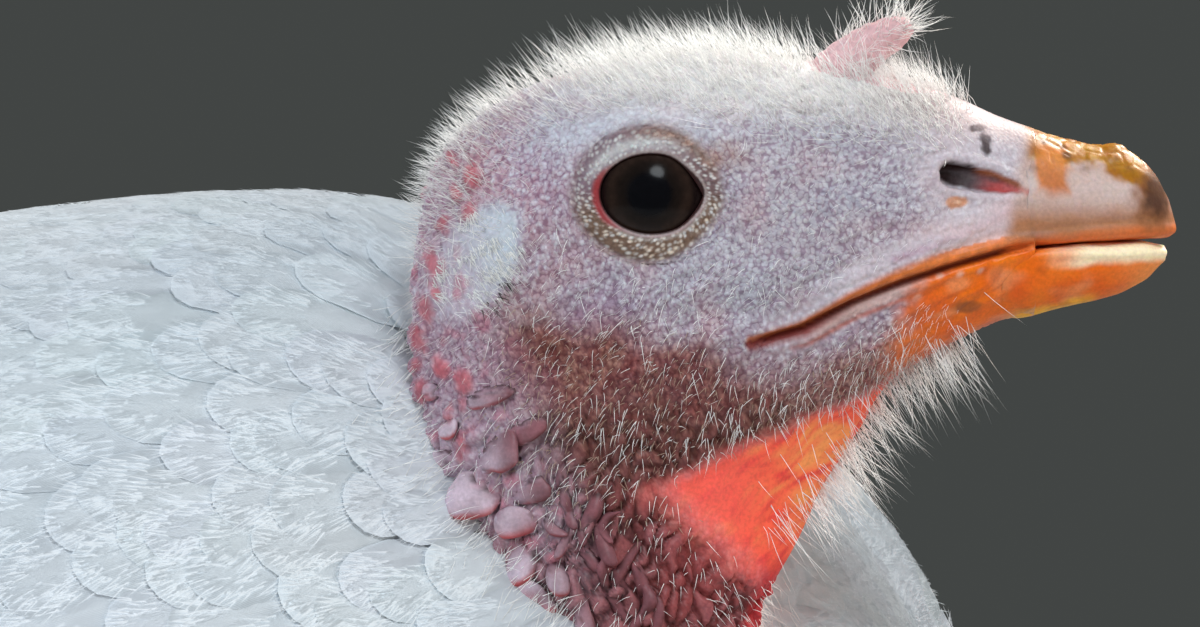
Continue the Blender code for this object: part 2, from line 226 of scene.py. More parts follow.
def ring_point(values, angles, grow=0.0):
    """Points on the rings of sections, at angles round from the top."""
    top, bottom = values[..., 0:2], values[..., 2:4]
    half_width, level = values[..., 4], values[..., 5]
    height = np.linalg.norm(top - bottom, axis=-1)
    up = (top - bottom) / height[..., None]
    waist = bottom + up * (height * level)[..., None]
    c, s = np.cos(angles), np.sin(angles)
    power = np.where(c > 0, values[..., 6], values[..., 7])
    reach = np.where(c > 0, height * (1 - level), height * level) + grow
    along = np.sign(c) * np.abs(c) ** (2 / power) * reach
    across = np.sign(s) * np.abs(s) ** (2 / power) * (half_width + grow)
    centre = waist + up * along[..., None]
    return np.stack([centre[..., 0], across, centre[..., 1]], axis=-1)


def rings_of(table, stations, around, grow=0.0):
    """Whole rings of a loft: ring after ring, point after point."""
    values = hermite(np.arange(len(table)), table, stations)[:, None, :]
    angles = np.linspace(0, 2 * math.pi, around, endpoint=False)[None, :]
    return ring_point(values, angles, np.asarray(grow, float).reshape(-1, 1))


def even_stations(table, start, end, step):
    """Places along a table of sections, about step apart along the middle of the form."""
    fine = np.linspace(start, end, 800)
    values = hermite(np.arange(len(table)), table, fine)
    centre = (values[:, 0:2] + values[:, 2:4]) / 2
    run = np.concatenate([[0], np.cumsum(np.linalg.norm(np.diff(centre, axis=0), axis=1))])
    count = max(3, int(round(run[-1] / step)))
    return np.interp(np.linspace(0, run[-1], count + 1), run, fine)


def grid_faces(rings, around, closed=True):
    """Quads of a grid of points, ring after ring."""
    i = np.arange(rings - 1)[:, None]
    j = np.arange(around if closed else around - 1)[None, :]
    k = (j + 1) % around
    faces = np.stack([i * around + j, i * around + k, (i + 1) * around + k, (i + 1) * around + j], axis=2)
    return faces.reshape(-1, 4)


def mesh_from(name, points, *face_sets):
    """A mesh from arrays: each set of faces is one array, a row of point numbers for each face."""
    mesh = bpy.data.meshes.new(name)
    face_sets = [np.atleast_2d(np.asarray(faces, dtype=np.int32)) for faces in face_sets]
    corners = np.concatenate([faces.ravel() for faces in face_sets])
    sizes = np.concatenate([np.full(len(faces), faces.shape[1], dtype=np.int32) for faces in face_sets])
    mesh.vertices.add(len(points))
    mesh.vertices.foreach_set("co", np.asarray(points, dtype=np.float32).ravel())
    mesh.loops.add(len(corners))
    mesh.loops.foreach_set("vertex_index", corners)
    mesh.polygons.add(len(sizes))
    starts = np.concatenate([[0], np.cumsum(sizes)[:-1]]).astype(np.int32)
    mesh.polygons.foreach_set("loop_start", starts)
    mesh.update(calc_edges=True)
    mesh.validate()
    return mesh


def tube_mesh(name, rings):
    """A closed mesh through rings of points, its ends filled with one face each."""
    count, around = rings.shape[:2]
    first, last = np.arange(around)[::-1], np.arange((count - 1) * around, count * around)
    return mesh_from(name, rings.reshape(-1, 3), grid_faces(count, around)[:, ::-1], first, last)


def outward(mesh):
    bm = bmesh.new()
    bm.from_mesh(mesh)
    bmesh.ops.recalc_face_normals(bm, faces=bm.faces)
    bm.to_mesh(mesh)
    bm.free()
    return mesh


def points_of(mesh):
    points = np.empty(len(mesh.vertices) * 3, dtype=np.float32)
    mesh.vertices.foreach_get("co", points)
    return points.reshape(-1, 3).astype(float)


def normals_of(mesh):
    normals = np.empty(len(mesh.vertices) * 3, dtype=np.float32)
    mesh.vertex_normals.foreach_get("vector", normals)
    return normals.reshape(-1, 3).astype(float)


def set_points(mesh, points):
    mesh.vertices.foreach_set("co", np.asarray(points, dtype=np.float32).ravel())
    mesh.update()


def paint(mesh, name, values):
    """Stores a colour or a number at every vertex, for the material to read."""
    values = np.asarray(values, dtype=np.float32)
    if values.ndim == 1:
        mesh.attributes.new(name, "FLOAT", "POINT").data.foreach_set("value", values)
    else:
        full = np.ones((len(values), 4), dtype=np.float32)
        full[:, :3] = np.clip(values, 0, 1)
        mesh.attributes.new(name, "FLOAT_COLOR", "POINT").data.foreach_set("color", full.ravel())


def add_piece(name, mesh, finish, nodes=(), smooth_shade=True):
    piece = bpy.data.objects.new(name, mesh)
    bpy.context.scene.collection.objects.link(piece)
    mesh.materials.clear()
    mesh.materials.append(finish)
    if smooth_shade:
        mesh.shade_smooth()
    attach(piece, "root")
    if nodes:
        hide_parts(*nodes)
    return piece


# ---------------------------------------------------------------- materials

def new_material(name):
    made = bpy.data.materials.new(name)
    made.use_nodes = True
    tree = made.node_tree
    return made, tree, tree.nodes["Principled BSDF"]


def node(tree, kind, inputs=None, **settings):
    made = tree.nodes.new(kind)
    for key, value in settings.items():
        setattr(made, key, value)
    for key, value in (inputs or {}).items():
        if isinstance(value, bpy.types.NodeSocket):
            tree.links.new(value, made.inputs[key])
        else:
            made.inputs[key].default_value = value
    return made


def link(tree, source, target):
    tree.links.new(source, target)


def bump(tree, shader, layers):
    """Chains bump layers: each is a height socket, a strength and a distance in metres."""
    last = None
    for height, strength, distance in layers:
        made = node(tree, "ShaderNodeBump", {"Height": height, "Strength": strength, "Distance": distance})
        if last:
            link(tree, last.outputs["Normal"], made.inputs["Normal"])
        last = made
    link(tree, last.outputs["Normal"], shader.inputs["Normal"])


def attribute(tree, name, output="Fac"):
    return node(tree, "ShaderNodeAttribute", attribute_name=name).outputs[output]


def speckled(tree, colour, amount, size):
    """A colour with fine lighter and darker specks; also the specks and the places they are read at."""
    where = node(tree, "ShaderNodeTexCoord").outputs["Object"]
    specks = node(tree, "ShaderNodeTexNoise", {"Vector": where, "Scale": 1 / (size * MM), "Detail": 4.0})
    limits = {"From Min": 0.3, "From Max": 0.7, "To Min": 1 - amount, "To Max": 1 + amount}
    strength = node(tree, "ShaderNodeMapRange", {"Value": specks.outputs["Fac"], **limits})
    tinted = node(tree, "ShaderNodeVectorMath", {0: colour, 3: strength.outputs["Result"]}, operation="SCALE")
    return tinted.outputs["Vector"], specks.outputs["Fac"], where


def specked_material(name, amount, size, values, plain=None):
    """A material whose colour comes from the mesh, or is one plain colour, with specks over it."""
    made, tree, shader = new_material(name)
    if plain:
        rgb = node(tree, "ShaderNodeRGB").outputs[0]
        rgb.default_value = (*plain, 1)
    tinted, specks, where = speckled(tree, rgb if plain else attribute(tree, "tint", "Color"), amount, size)
    link(tree, tinted, shader.inputs["Base Color"])
    for socket, value in values.items():
        shader.inputs[socket].default_value = value
    return made, tree, shader, specks, where


def subsurface(weight, radius, scale):
    return {"Subsurface Weight": weight, "Subsurface Radius": radius, "Subsurface Scale": scale}


def skin_material():
    """Bare skin, pebbled by bump, with painted shade darkening the pits between the pebbles where the mesh
    says so.
    """
    flesh = subsurface(0.12, (1.0, 0.35, 0.2), 0.0006)
    made, tree, shader, specks, where = specked_material("bare_skin", 0.12, 0.45, flesh)
    rough, pebbly = attribute(tree, "rough"), attribute(tree, "pebbly")
    warp = node(tree, "ShaderNodeTexNoise", {"Vector": where, "Scale": 1 / (1.6 * MM), "Detail": 2.0})
    shift = node(tree, "ShaderNodeVectorMath", {0: warp.outputs["Color"], 3: 0.0009}, operation="SCALE")
    bent = node(tree, "ShaderNodeVectorMath", {0: where, 1: shift.outputs["Vector"]}, operation="ADD")
    pebbles = node(tree, "ShaderNodeTexVoronoi", {"Vector": bent.outputs["Vector"], "Scale": 1 / (0.54 * MM)})
    away = pebbles.outputs["Distance"]
    pits = node(tree, "ShaderNodeMapRange", {"Value": away, "From Min": 0.42, "From Max": 0.80},
                interpolation_type="SMOOTHSTEP")
    depth = node(tree, "ShaderNodeMath", {0: pits.outputs["Result"], 1: pebbly}, operation="MULTIPLY")
    tinted = shader.inputs["Base Color"].links[0].from_socket
    # Painted shade: the skin's colour made darker in the pits between the pebbles.
    dark = node(tree, "ShaderNodeVectorMath", {0: tinted, 1: (0.64, 0.52, 0.60)}, operation="MULTIPLY")
    pit_shaded_colour = node(tree, "ShaderNodeMix",
                  {"Factor": depth.outputs[0], "A": tinted, "B": dark.outputs["Vector"]},
                  data_type="VECTOR")
    link(tree, pit_shaded_colour.outputs["Result"], shader.inputs["Base Color"])
    link(tree, rough, shader.inputs["Roughness"])
    limits = {"From Min": 0.5, "From Max": 0.9, "To Min": 0.36, "To Max": 0.02}
    gloss = node(tree, "ShaderNodeMapRange", {"Value": rough, **limits})
    link(tree, gloss.outputs["Result"], shader.inputs["Specular IOR Level"])
    domes = node(tree, "ShaderNodeMath", {0: 1.0, 1: away}, operation="SUBTRACT")
    raised = node(tree, "ShaderNodeMath", {0: domes.outputs[0], 1: pebbly}, operation="MULTIPLY")
    bump(tree, shader, [(specks, 0.35, 0.00008), (raised.outputs[0], 0.55, 0.00022)])
    return made


def horn_material():
    """The bill's horn, with fine lines along it."""
    gloss = {"Roughness": 0.42, "Specular IOR Level": 0.34, "Coat Weight": 0.04, "Coat Roughness": 0.2}
    made, tree, shader, specks, where = specked_material(
        "bill_horn", 0.10, 0.5, {**gloss, **subsurface(0.35, (1.0, 0.4, 0.12), 0.002)})
    grain = node(tree, "ShaderNodeMapping", {"Vector": where, "Scale": (260.0, 260.0, 1300.0)})
    lines = node(tree, "ShaderNodeTexNoise", {"Vector": grain.outputs["Vector"], "Scale": 1.0, "Detail": 3.0})
    bump(tree, shader, [(specks, 0.3, 0.0001), (lines.outputs["Fac"], 0.25, 0.0001)])
    return made


def eye_material():
    """The wet eyeball, its iris finely streaked."""
    made, tree, shader = new_material("wet_eye")
    where = node(tree, "ShaderNodeTexCoord").outputs["Object"]
    fibres = node(tree, "ShaderNodeTexNoise", {"Vector": where, "Scale": 1500.0, "Detail": 3.0})
    strength = node(tree, "ShaderNodeMapRange",
                    {"Value": fibres.outputs["Fac"], "To Min": 0.6, "To Max": 1.4})
    tinted = node(tree, "ShaderNodeVectorMath",
                  {0: attribute(tree, "tint", "Color"), 3: strength.outputs["Result"]},
                  operation="SCALE")
    link(tree, tinted.outputs["Vector"], shader.inputs["Base Color"])
    for socket, value in {"Roughness": 0.17, "IOR": 1.36, "Specular IOR Level": 0.25}.items():
        shader.inputs[socket].default_value = value
    return made


def plumage_material():
    """White vanes, with fine barbs slanting off each quill."""
    soft = {"Roughness": 0.72, "Sheen Weight": 0.10, "Sheen Roughness": 0.5}
    made, tree, shader, specks, _ = specked_material(
        "white_plumage", 0.04, 3.0, {**soft, **subsurface(0.40, (1.0, 0.96, 0.92), 0.003)})
    spread = node(tree, "ShaderNodeMath", {0: attribute(tree, "across")}, operation="ABSOLUTE")
    slant = node(tree, "ShaderNodeMath", {0: spread.outputs[0], 1: 1.3, 2: attribute(tree, "along")},
                 operation="MULTIPLY_ADD")
    ragged = node(tree, "ShaderNodeMath", {0: specks, 1: 1.2, 2: slant.outputs[0]}, operation="MULTIPLY_ADD")
    barbs = node(tree, "ShaderNodeMath", {0: ragged.outputs[0], 1: 14.0}, operation="MULTIPLY")
    wave = node(tree, "ShaderNodeMath", {0: barbs.outputs[0]}, operation="SINE")
    bump(tree, shader, [(wave.outputs[0], 0.06, 0.00005)])
    return made


def shank_material():
    made, tree, shader, specks, _ = specked_material(
        "scaly_shank", 0.12, 0.9, {"Roughness": 0.46, **subsurface(0.15, (1.0, 0.5, 0.4), 0.002)})
    bump(tree, shader, [(specks, 0.3, 0.00012)])
    return made


def claw_material():
    made, tree, shader, specks, _ = specked_material("claw_horn", 0.10, 0.7, {"Roughness": 0.35})
    bump(tree, shader, [(specks, 0.2, 0.00008)])
    return made


def hair_material(name, colour):
    return specked_material(name, 0.08, 1.5, {"Roughness": 0.45}, colour)[0]


SKIN_FINISH = skin_material()
HORN_FINISH = horn_material()
EYE_FINISH = eye_material()
PLUMAGE_FINISH = plumage_material()
SHANK_FINISH, CLAW_FINISH = shank_material(), claw_material()
WHITE_HAIR = hair_material("white_hair", (0.95, 0.94, 0.92))
TAN_HAIR = hair_material("tan_hair", (0.46, 0.33, 0.25))
DARK_HAIR = hair_material("dark_bristle", (0.02, 0.014, 0.012))


# ---------------------------------------------------------------- the head's and neck's skin

FACE_SECTIONS = [
    section((49.8, 8.3), (49.8, -16.1), 7.7, 0.42, 2.2, 2.3),
    section((45.2, 9.9), (45.2, -16.9), 8.6, 0.42, 2.2, 2.2),
    section((37.0, 13.3), (38.2, -20.3), 11.0, 0.42, 2.2, 2.1),
    section((23.0, 16.4), (31.0, -25.0), 14.0, 0.44, 2.3, 1.9),
    section((8.0, 18.3), (27.0, -31.5), 15.9, 0.50, 2.4, 1.7),
    section((-7.0, 16.3), (24.0, -36.5), 16.8, 0.54, 2.4, 1.6),
    section((-18.2, 12.4), (21.5, -41.0), 16.9, 0.56, 2.3, 1.6),
    section((-26.8, 5.0), (19.6, -45.0), 16.0, 0.56, 2.2, 1.6),
    section((-30.4, -6.5), (18.0, -48.2), 15.0, 0.56, 2.1, 1.7),
    section((-30.9, -20.0), (16.6, -51.0), 14.5, 0.55, 2.0, 1.8),
    section((-30.4, -33.0), (15.2, -54.2), 14.4, 0.54, 2.0, 1.9),
    section((-26.3, -45.0), (14.4, -58.2), 14.6, 0.52, 2.0, 2.0),
    section((-19.5, -56.5), (13.8, -64.0), 14.6, 0.5, 2.0, 2.0),
    section((-17.0, -72.0), (13.0, -76.0), 15.0, 0.5, 2.0, 2.0),
    section((-17.0, -88.0), (14.0, -91.0), 16.0, 0.5, 2.0, 2.0),
]
EYE_RADIUS, EYE_SIDE = 8.5, 10.0
EYE_LIFT = 0.75  # how far the opening's middle is above the eyeball's
EYE_LONG, EYE_TALL = 6.45, 4.95  # half sizes of the opening between the lids
# Lines seen from the side, as x and z: the mouth's crease from the front to its corner, and the lips.
MOUTH = [(50.5, -6.15), (45.0, -7.25), (39.0, -8.75), (32.0, -10.8), (25.5, -13.2), (19.2, -16.5),
         (12.8, -18.2)]
BETWEEN_LIPS = [*MOUTH[:1:-1], (45.0, -7.5), (50.5, -6.8), (68.0, -6.2)]
EAR_CENTRE, EAR_HALF, EAR_LEAN = np.array((-22.8, -8.6)), np.array((4.5, 8.4)), math.radians(33)
UPPER_LIP = [(68.0, -5.9), (60.0, -6.2), (50.5, -7.1), (45.0, -7.8), (39.0, -9.3)]
JAW_EDGE = (34.0, -22.0), (2.0, -35.5)  # above it the jaw, below it the throat
NOSTRIL_BACK, NOSTRIL_FRONT = np.array((38.4, 2.9)), np.array((46.9, 1.0))


def along_line(points, line):
    """For each point's x and z: the distance to a bent line, and the share of its length passed."""
    flat = points[:, (0, 2)]
    best = np.full(len(flat), 1e9)
    share = np.zeros(len(flat))
    line = np.asarray(line, float)
    for i, (a, b) in enumerate(zip(line, line[1:])):
        step = b - a
        t = np.clip((flat - a) @ step / (step @ step), 0, 1)
        away = np.linalg.norm(flat - a - t[:, None] * step, axis=1)
        nearer = away < best
        best = np.where(nearer, away, best)
        share = np.where(nearer, (i + t) / (len(line) - 1), share)
    return best, share


def below_line(points, a, b):
    """How far below the line from a to b a point lies, seen from the side."""
    step = np.array(b, float) - np.array(a, float)
    normal = np.array((step[1], -step[0])) / np.linalg.norm(step)
    if normal[1] > 0:
        normal = -normal
    return (points[:, (0, 2)] - np.array(a)) @ normal


def lips_level(x):
    """The height of the line between the upper and the lower lip and bill at x."""
    run, level = np.array(BETWEEN_LIPS).T
    return np.interp(x, run, level)


def head_regions(p):
    """Masks from 0 to 1 over the head and neck, by place, with the places themselves."""
    x, y, z = sided(p)
    wander = ripple(p, 6.0, 1) * 1.6 + ripple(p, 2.2, 2) * 0.6
    jaw = below_line(p, *JAW_EDGE) + wander * 0.5
    rear = -below_line(p, (-1.5, -34.5), (14.5, -50.5)) + wander * 0.8
    throat = smooth(-0.8, 2.2, jaw) * smooth(-3.8, 2.6, rear)
    throat *= smooth(-54.0, -49.0, z)
    neck = smooth(0.0, 9.0, below_line(p, (26.0, -21.0), (-32.0, -24.0)) + wander)
    nape = smooth(-12.0, -24.0, x + 0.35 * (z + 20.0) + wander) * smooth(14.0, 2.0, z)
    nape = nape * (1 - 0.75 * smooth(-44.0, -60.0, z) * smooth(-20, -10, x))
    mouth, mouth_share = along_line(p, MOUTH)
    under = (lips_level(x) - z) * 0.92
    crown = smooth(8.5, 14.5, z + 0.06 * x) * smooth(44.0, 36.0, x)
    edge = np.interp(x, (-30, -20, -6, 4, 13, 18, 36), (-15.0, -12.5, -14.0, -15.5, -21.0, -20.5, -15.5))
    brown = smooth(-1.0, 5.0, edge - z + 1.3 * wander)
    return SimpleNamespace(x=x, y=y, z=z, side=smooth(3.0, 8.0, y), throat=throat, neck=neck * (1 - throat),
                           nape=nape, mouth=mouth, mouth_share=mouth_share, under=under, crown=crown,
                           wander=wander, brown=brown * (1 - throat))


def horn_masks(p, at):
    """Where skin turns to horn: along the upper lip, and over the front of the lower jaw."""
    spread = 0.70 + 2.1 * smooth(1.0, 0.15, at.mouth_share)
    upper_lip = smooth(spread + 0.5, spread * 0.6, at.mouth) * (at.under < 0.1) * at.side
    ragged = at.wander * 1.2 + ripple(p, 1.1, 67) * 0.9
    front_jaw = smooth(-2.4, 2.4, at.x - 33.0 + ragged - 0.35 * (at.z + 14.0)) * (at.under > -0.1)
    front_jaw *= smooth(1.4, -1.6, below_line(p, *JAW_EDGE) + ragged * 0.3)
    width = 0.7 + 2.2 * smooth(0.95, 0.45, at.mouth_share)
    lower_lip = smooth(width + 0.9, width * 0.5, at.mouth) * (at.under > -0.1)
    lower_lip *= smooth(0.48, 0.36, at.mouth_share) * at.side
    return upper_lip, np.maximum(front_jaw, lower_lip), spread


def nostril(p):
    """How far inside the nostril each point lies, in mm, and its share of the way to the front."""
    pit, share = along_line(p, [NOSTRIL_BACK, NOSTRIL_FRONT])
    return 1.60 - 0.12 * share - 0.75 * share**3 + 0.20 * ripple(p, 1.5, 64) - pit, share


def eye_ratio(p, grow=0.0):
    """1 on the eye's outline, less inside and more outside."""
    return np.sqrt((p[:, 0] / (EYE_LONG + grow)) ** 2 + ((p[:, 2] - EYE_LIFT) / (EYE_TALL + grow)) ** 2)


DOWN_NECK, OVER_NECK = (0.42, 0.9), (0.9, -0.42)  # along the neck and across it, in x and z


def fold_field(p):
    """Winding folds of the neck: how high from 0 to 1, and a number for each fold."""
    bend = p + drift(p, 5.0, 5) * 2.6
    near, next_near, mark = cells(strands(bend, OVER_NECK, DOWN_NECK, (0.95, 0.8, 0.5)), 2.1, 3)
    return np.sqrt(np.clip((next_near - near) * 1.7, 0, 1)), mark


def papillae(p):
    """Small pebbles of bare skin: how high from 0 to 1, and a number for each."""
    near, _, mark = cells(p + drift(p, 2.0, 31) * 0.5, 0.80, 4)
    return smooth(0.72, 0.08, near), mark


# Red warts on the nape and behind the ear: x, z and size.
RED_WARTS = [
    (-22.8, 2.5, 1.5), (-24.9, 0.4, 1.0), (-23.2, -1.9, 1.2), (-28.0, -8.6, 1.5), (-29.0, -14.4, 1.5),
    (-30.2, -18.8, 1.4), (-26.6, -3.2, 0.9), (-27.0, -22.0, 1.3), (-24.0, -23.6, 1.5), (-29.6, -25.4, 1.4),
    (-30.4, -31.5, 1.7), (-28.9, -39.2, 1.9), (-25.7, -45.0, 1.5), (-22.3, -50.6, 1.5),
    (-27.6, -12.4, 0.9), (-25.6, 4.6, 0.9), (-30.3, -22.4, 1.0), (-29.4, -35.6, 1.2), (-25.4, -48.6, 1.2),
]


def wart_field(p):
    """How close to a wart each point of the neck lies, from 0 to 1."""
    best = np.zeros(len(p))
    ragged = ripple(p, 1.3, 65)
    for x, z, size in RED_WARTS:
        lean = 0.35 * math.sin(7.0 * x + z)
        away = np.hypot((p[:, 0] - x) + lean * (p[:, 2] - z), (p[:, 2] - z) * 0.66) / size + 0.30 * ragged
        best = np.maximum(best, smooth(1.15, 0.35, away) * (np.abs(p[:, 1]) > 1.5))
    near, _, mark = cells(p * np.array((1.0, 1.0, 0.62)), 2.2, 66)
    zone = smooth(-20.0, -26.0, p[:, 0] + 0.16 * (p[:, 2] + 20.0)) * smooth(8.0, 2.0, p[:, 2])
    small = smooth(0.52, 0.2, near + 0.12 * ragged) * (mark > 0.52) * zone * 0.85
    return np.maximum(best, small)


# Swellings and hollows of the face: centre, reach and height.
FACE_FORMS = [
    ((4.0, 15.0, 9.5), (10.0, 9.0, 3.6), 1.1),  # brow
    ((22.0, 13.0, 3.0), (8.5, 9.0, 6.0), -1.5),  # hollow before the eye
    ((-15.0, 16.0, 3.0), (6.0, 9.0, 5.0), -0.9),  # temple
    ((13.0, 14.0, -8.5), (10.0, 9.0, 3.6), 1.0),  # cheekbone
    ((5.0, 16.0, -15.0), (9.0, 9.0, 3.0), -0.9),  # hollow under it
    ((-3.0, 15.0, -25.0), (11.0, 9.0, 7.0), 1.3),  # jaw muscle
    ((-21.5, 14.0, -9.0), (6.5, 9.0, 8.5), 1.3),  # ear
]


def creased(p):
    """Points bent a little, for the creases of the face and the throat to follow."""
    return p + drift(p, 6.0, 5) * 1.6


def sculpt_head(p, n):
    """Moves the smooth head's points to give it folds, hollows, wrinkles and pebbled skin."""
    at = head_regions(p)
    x, z, side = at.x, at.z, at.side
    rise = sum(height * blob(p, centre, reach) for centre, reach, height in FACE_FORMS)
    rise += 0.9 * blob(p, (26.0, 11.0, -20.0), (9.0, 9.0, 3.0)) * side  # lower jaw
    rise += 0.55 * bell(below_line(p, (44.0, -3.0), (16.0, -14.5)), 1.6) * side * smooth(44, 38, x)
    rise += ripple(p, 7.0, 35) * 0.35 * side
    rise -= 0.9 * at.throat * side
    lobes, mark = fold_field(p)
    wrinkly = at.neck * (1 - 0.85 * at.throat)
    rise += (lobes - 0.72) * 1.7 * wrinkly * (0.7 + 0.6 * mark)
    warts = wart_field(p)
    rise += warts * 0.85 * smooth(0.25, 0.8, warts + 0.3)
    # Pebbled skin: clear dots over the face, finer ones on the neck.
    pebbles, mark = papillae(p)
    upper_lip, low_horn, _ = horn_masks(p, at)
    bare = smooth(0.6, 2.0, at.mouth) * smooth(45.0, 36.0, x + 0.4 * z)
    bare = bare * (1 - low_horn) * (1 - 0.8 * upper_lip)
    height = (0.36 + 0.16 * at.brown) * bare * (1 - 0.55 * wrinkly) * (1 - at.throat) * (0.6 + 0.8 * mark)
    rise += (pebbles - 0.45) * height
    # Creases that fan from under the eye back to the ear, and down the jaw.
    bend = creased(p)
    fine = ripple(strands(bend, (0.86, 0.5), (-0.5, 0.86), (0.22, 0.4, 1.5)), 1.7, 9)
    rise += fine * 0.34 * (1 - wrinkly) * side * smooth(3.0, -6.0, z) * (1 - at.throat)
    rise += ripple(strands(bend, DOWN_NECK, OVER_NECK, (0.25, 0.5, 1.0)), 1.5, 10) * 0.36 * at.throat
    # The mouth's crease, its lips and the nostril's pit.
    deep = bell(at.mouth, 0.42) * smooth(1.0, 0.93, at.mouth_share)
    lip = bell(at.mouth - 1.15, 0.65) * np.where(at.under < 0, 1.3, 0.7) * smooth(49.5, 44.5, x)
    rise += (0.42 * lip - 1.25 * deep) * side
    inside, pit_share = nostril(p)
    rise += 0.26 * bell(inside + 0.7, 0.55) * side
    rise -= 2.4 * (1 - 0.6 * smooth(0.35, 0.8, pit_share)) * smooth(-0.2, 0.6, inside) * side
    # The lips' skin thins out over the horn.
    rise = mix(rise, -0.6, smooth(48.2, 50.0, x) * smooth(3.2, 1.6, at.mouth))
    # The orbit: the skin dips behind the eyeball, and the lids cover its edge.
    ratio = eye_ratio(p, 1.4)
    rise += 0.5 * bell(ratio - 1.45, 0.22) * side
    sunk = smooth(1.12, 0.86, ratio) * side * (at.y > 6)
    moved = p + n * (rise * (1 - sunk))[:, None]
    moved[:, 1] -= np.sign(p[:, 1]) * 7.0 * sunk
    return moved


# Colours are linear, as the shader reads them.
WHITE = np.array((0.76, 0.815, 0.865))  # the plumage
DARK = (0.035, 0.012, 0.012)  # the lids' inner edge
# Lines of the bill, seen from the side: its lower edge, and how far down the ridge's gold comes.
LOWER_BILL_RUN = [(45.0, -16.75), (49.5, -16.2), (53.4, -15.1), (60.0, -13.6), (64.2, -11.6)]
GOLD_EDGE = (46, 52, 58, 61, 65), (5.2, 4.2, 3.5, 1.6, -0.4)


def horn_colours(p):
    """The bill's horn by place, the same on the horn itself and on the skin that it grows out of."""
    x, y, z = sided(p)
    tone = ripple(p, 3.2, 53) * 0.5 + 0.5
    blot = ripple(p, 2.2, 54)
    speck = ripple(p, 0.9, 80)
    lip, _ = along_line(p, UPPER_LIP)
    low_part = smooth(-0.6, -3.8, z + 0.5 * blot)
    bands = ripple(np.stack([x * 0.22, y * 0.2, z * 1.5], axis=1), 1.2, 79)
    glint = smooth(0.15, 0.5, ripple(p, 1.6, 73)) * smooth(3.4, 4.8, z)
    gold = mix((0.40, 0.185, 0.0), (0.30, 0.085, 0.0), np.clip(tone + blot * 0.5, 0, 1))
    gold = mix(gold, (0.66, 0.40, 0.16), glint * 0.35)
    gold_line = z - np.interp(x, *GOLD_EDGE) + blot * 0.9 + 0.4 * ripple(p, 0.9, 59)
    patch = np.maximum(np.abs(x - 51.6) / 2.3, np.abs(z - 3.1) / 2.9) + 0.30 * blot
    rough_tip = blot * 0.5 + 0.5 * speck
    brown = smooth(1.3, 0.5, np.hypot((x - 65.4) / 3.4, (z + 0.6) / 4.4) + 0.35 * rough_tip)
    dark = smooth(1.2, 0.5, np.hypot((x - 65.6) / 2.2, (z - 0.0) / 3.2) + 0.5 * rough_tip)
    stain = smooth(0.36, 0.16, cells(p, 2.7, 55)[0]) * smooth(2.0, 4.5, z) * smooth(47, 50, x)
    upper = layered(
        mix((0.53, 0.38, 0.34), (0.40, 0.17, 0.08), low_part * 0.9 + 0.12 * tone),
        ((0.68, 0.57, 0.55), bell(z - 0.6 - 0.06 * (60 - x), 1.5) * 0.5),
        ((0.46, 0.29, 0.25), smooth(0.1, 0.6, bands) * 0.3),
        (gold, smooth(-0.5, 0.8, gold_line) * smooth(47.4, 50.4, x + 0.8 * blot)),
        (mix((0.62, 0.21, 0.02), (0.50, 0.12, 0.012), tone), smooth(1.25, 0.7, patch) * 0.9),
        ((0.70, 0.16, 0.03), smooth(2.6, 1.0, lip + 0.35 * blot) * 0.92),
        ((0.23, 0.085, 0.03), brown * 0.85),
        ((0.055, 0.022, 0.012), dark * 0.8),
        ((0.09, 0.03, 0.012), stain * 0.7),
    )
    # Painted highlight: a pale cream streak along the top of the lower bill, under the upper bill's edge.
    edge = z + 7.7 + 0.7 * (tone - 0.5) + 0.25 * blot
    ridge_highlight = smooth(-1.7, -0.5, edge + 0.8 * smooth(59.0, 54.0, x) * 0.6)
    lowest = np.interp(x, *np.array(LOWER_BILL_RUN).T)
    # The lower bill's bottom edge in bright yellow: partly the horn's own yellow, partly painted glow of
    # light through the thin edge.
    rim = smooth(1.7, 0.5, z - lowest + 0.5 * blot) * smooth(45.5, 48.5, x) * smooth(59.0, 56.0, x)
    pits = smooth(0.4, 0.15, cells(p, 3.4, 58)[0]) * smooth(-8.6, -9.6, z)
    lower = layered(
        mix((0.74, 0.10, 0.005), (0.84, 0.20, 0.010), tone),
        ((0.80, 0.40, 0.20), smooth(0.1, 0.6, ripple(p * np.array((0.5, 1, 1)), 2.4, 74)) * 0.35),
        ((0.80, 0.34, 0.10), smooth(58.0, 66.0, x) * 0.6),
        # Painted highlight along the lower bill's upper edge.
        ((0.98, 0.84, 0.58), ridge_highlight * smooth(50, 57, x + blot) * 0.95),
        ((0.95, 0.48, 0.02), rim * 0.85),
        ((0.42, 0.07, 0.012), pits * 0.4),
    )
    return mix(upper, lower, smooth(0.15, -0.15, z - lips_level(x)))


def ear_ratio(x, z):
    """Less than 1 inside the ear's oval, more outside."""
    turned = np.stack([x - EAR_CENTRE[0], z - EAR_CENTRE[1]], axis=1)
    cos, sin = math.cos(EAR_LEAN), math.sin(EAR_LEAN)
    return np.hypot((turned[:, 0] * cos - turned[:, 1] * sin) / EAR_HALF[0],
                    (turned[:, 0] * sin + turned[:, 1] * cos) / EAR_HALF[1])


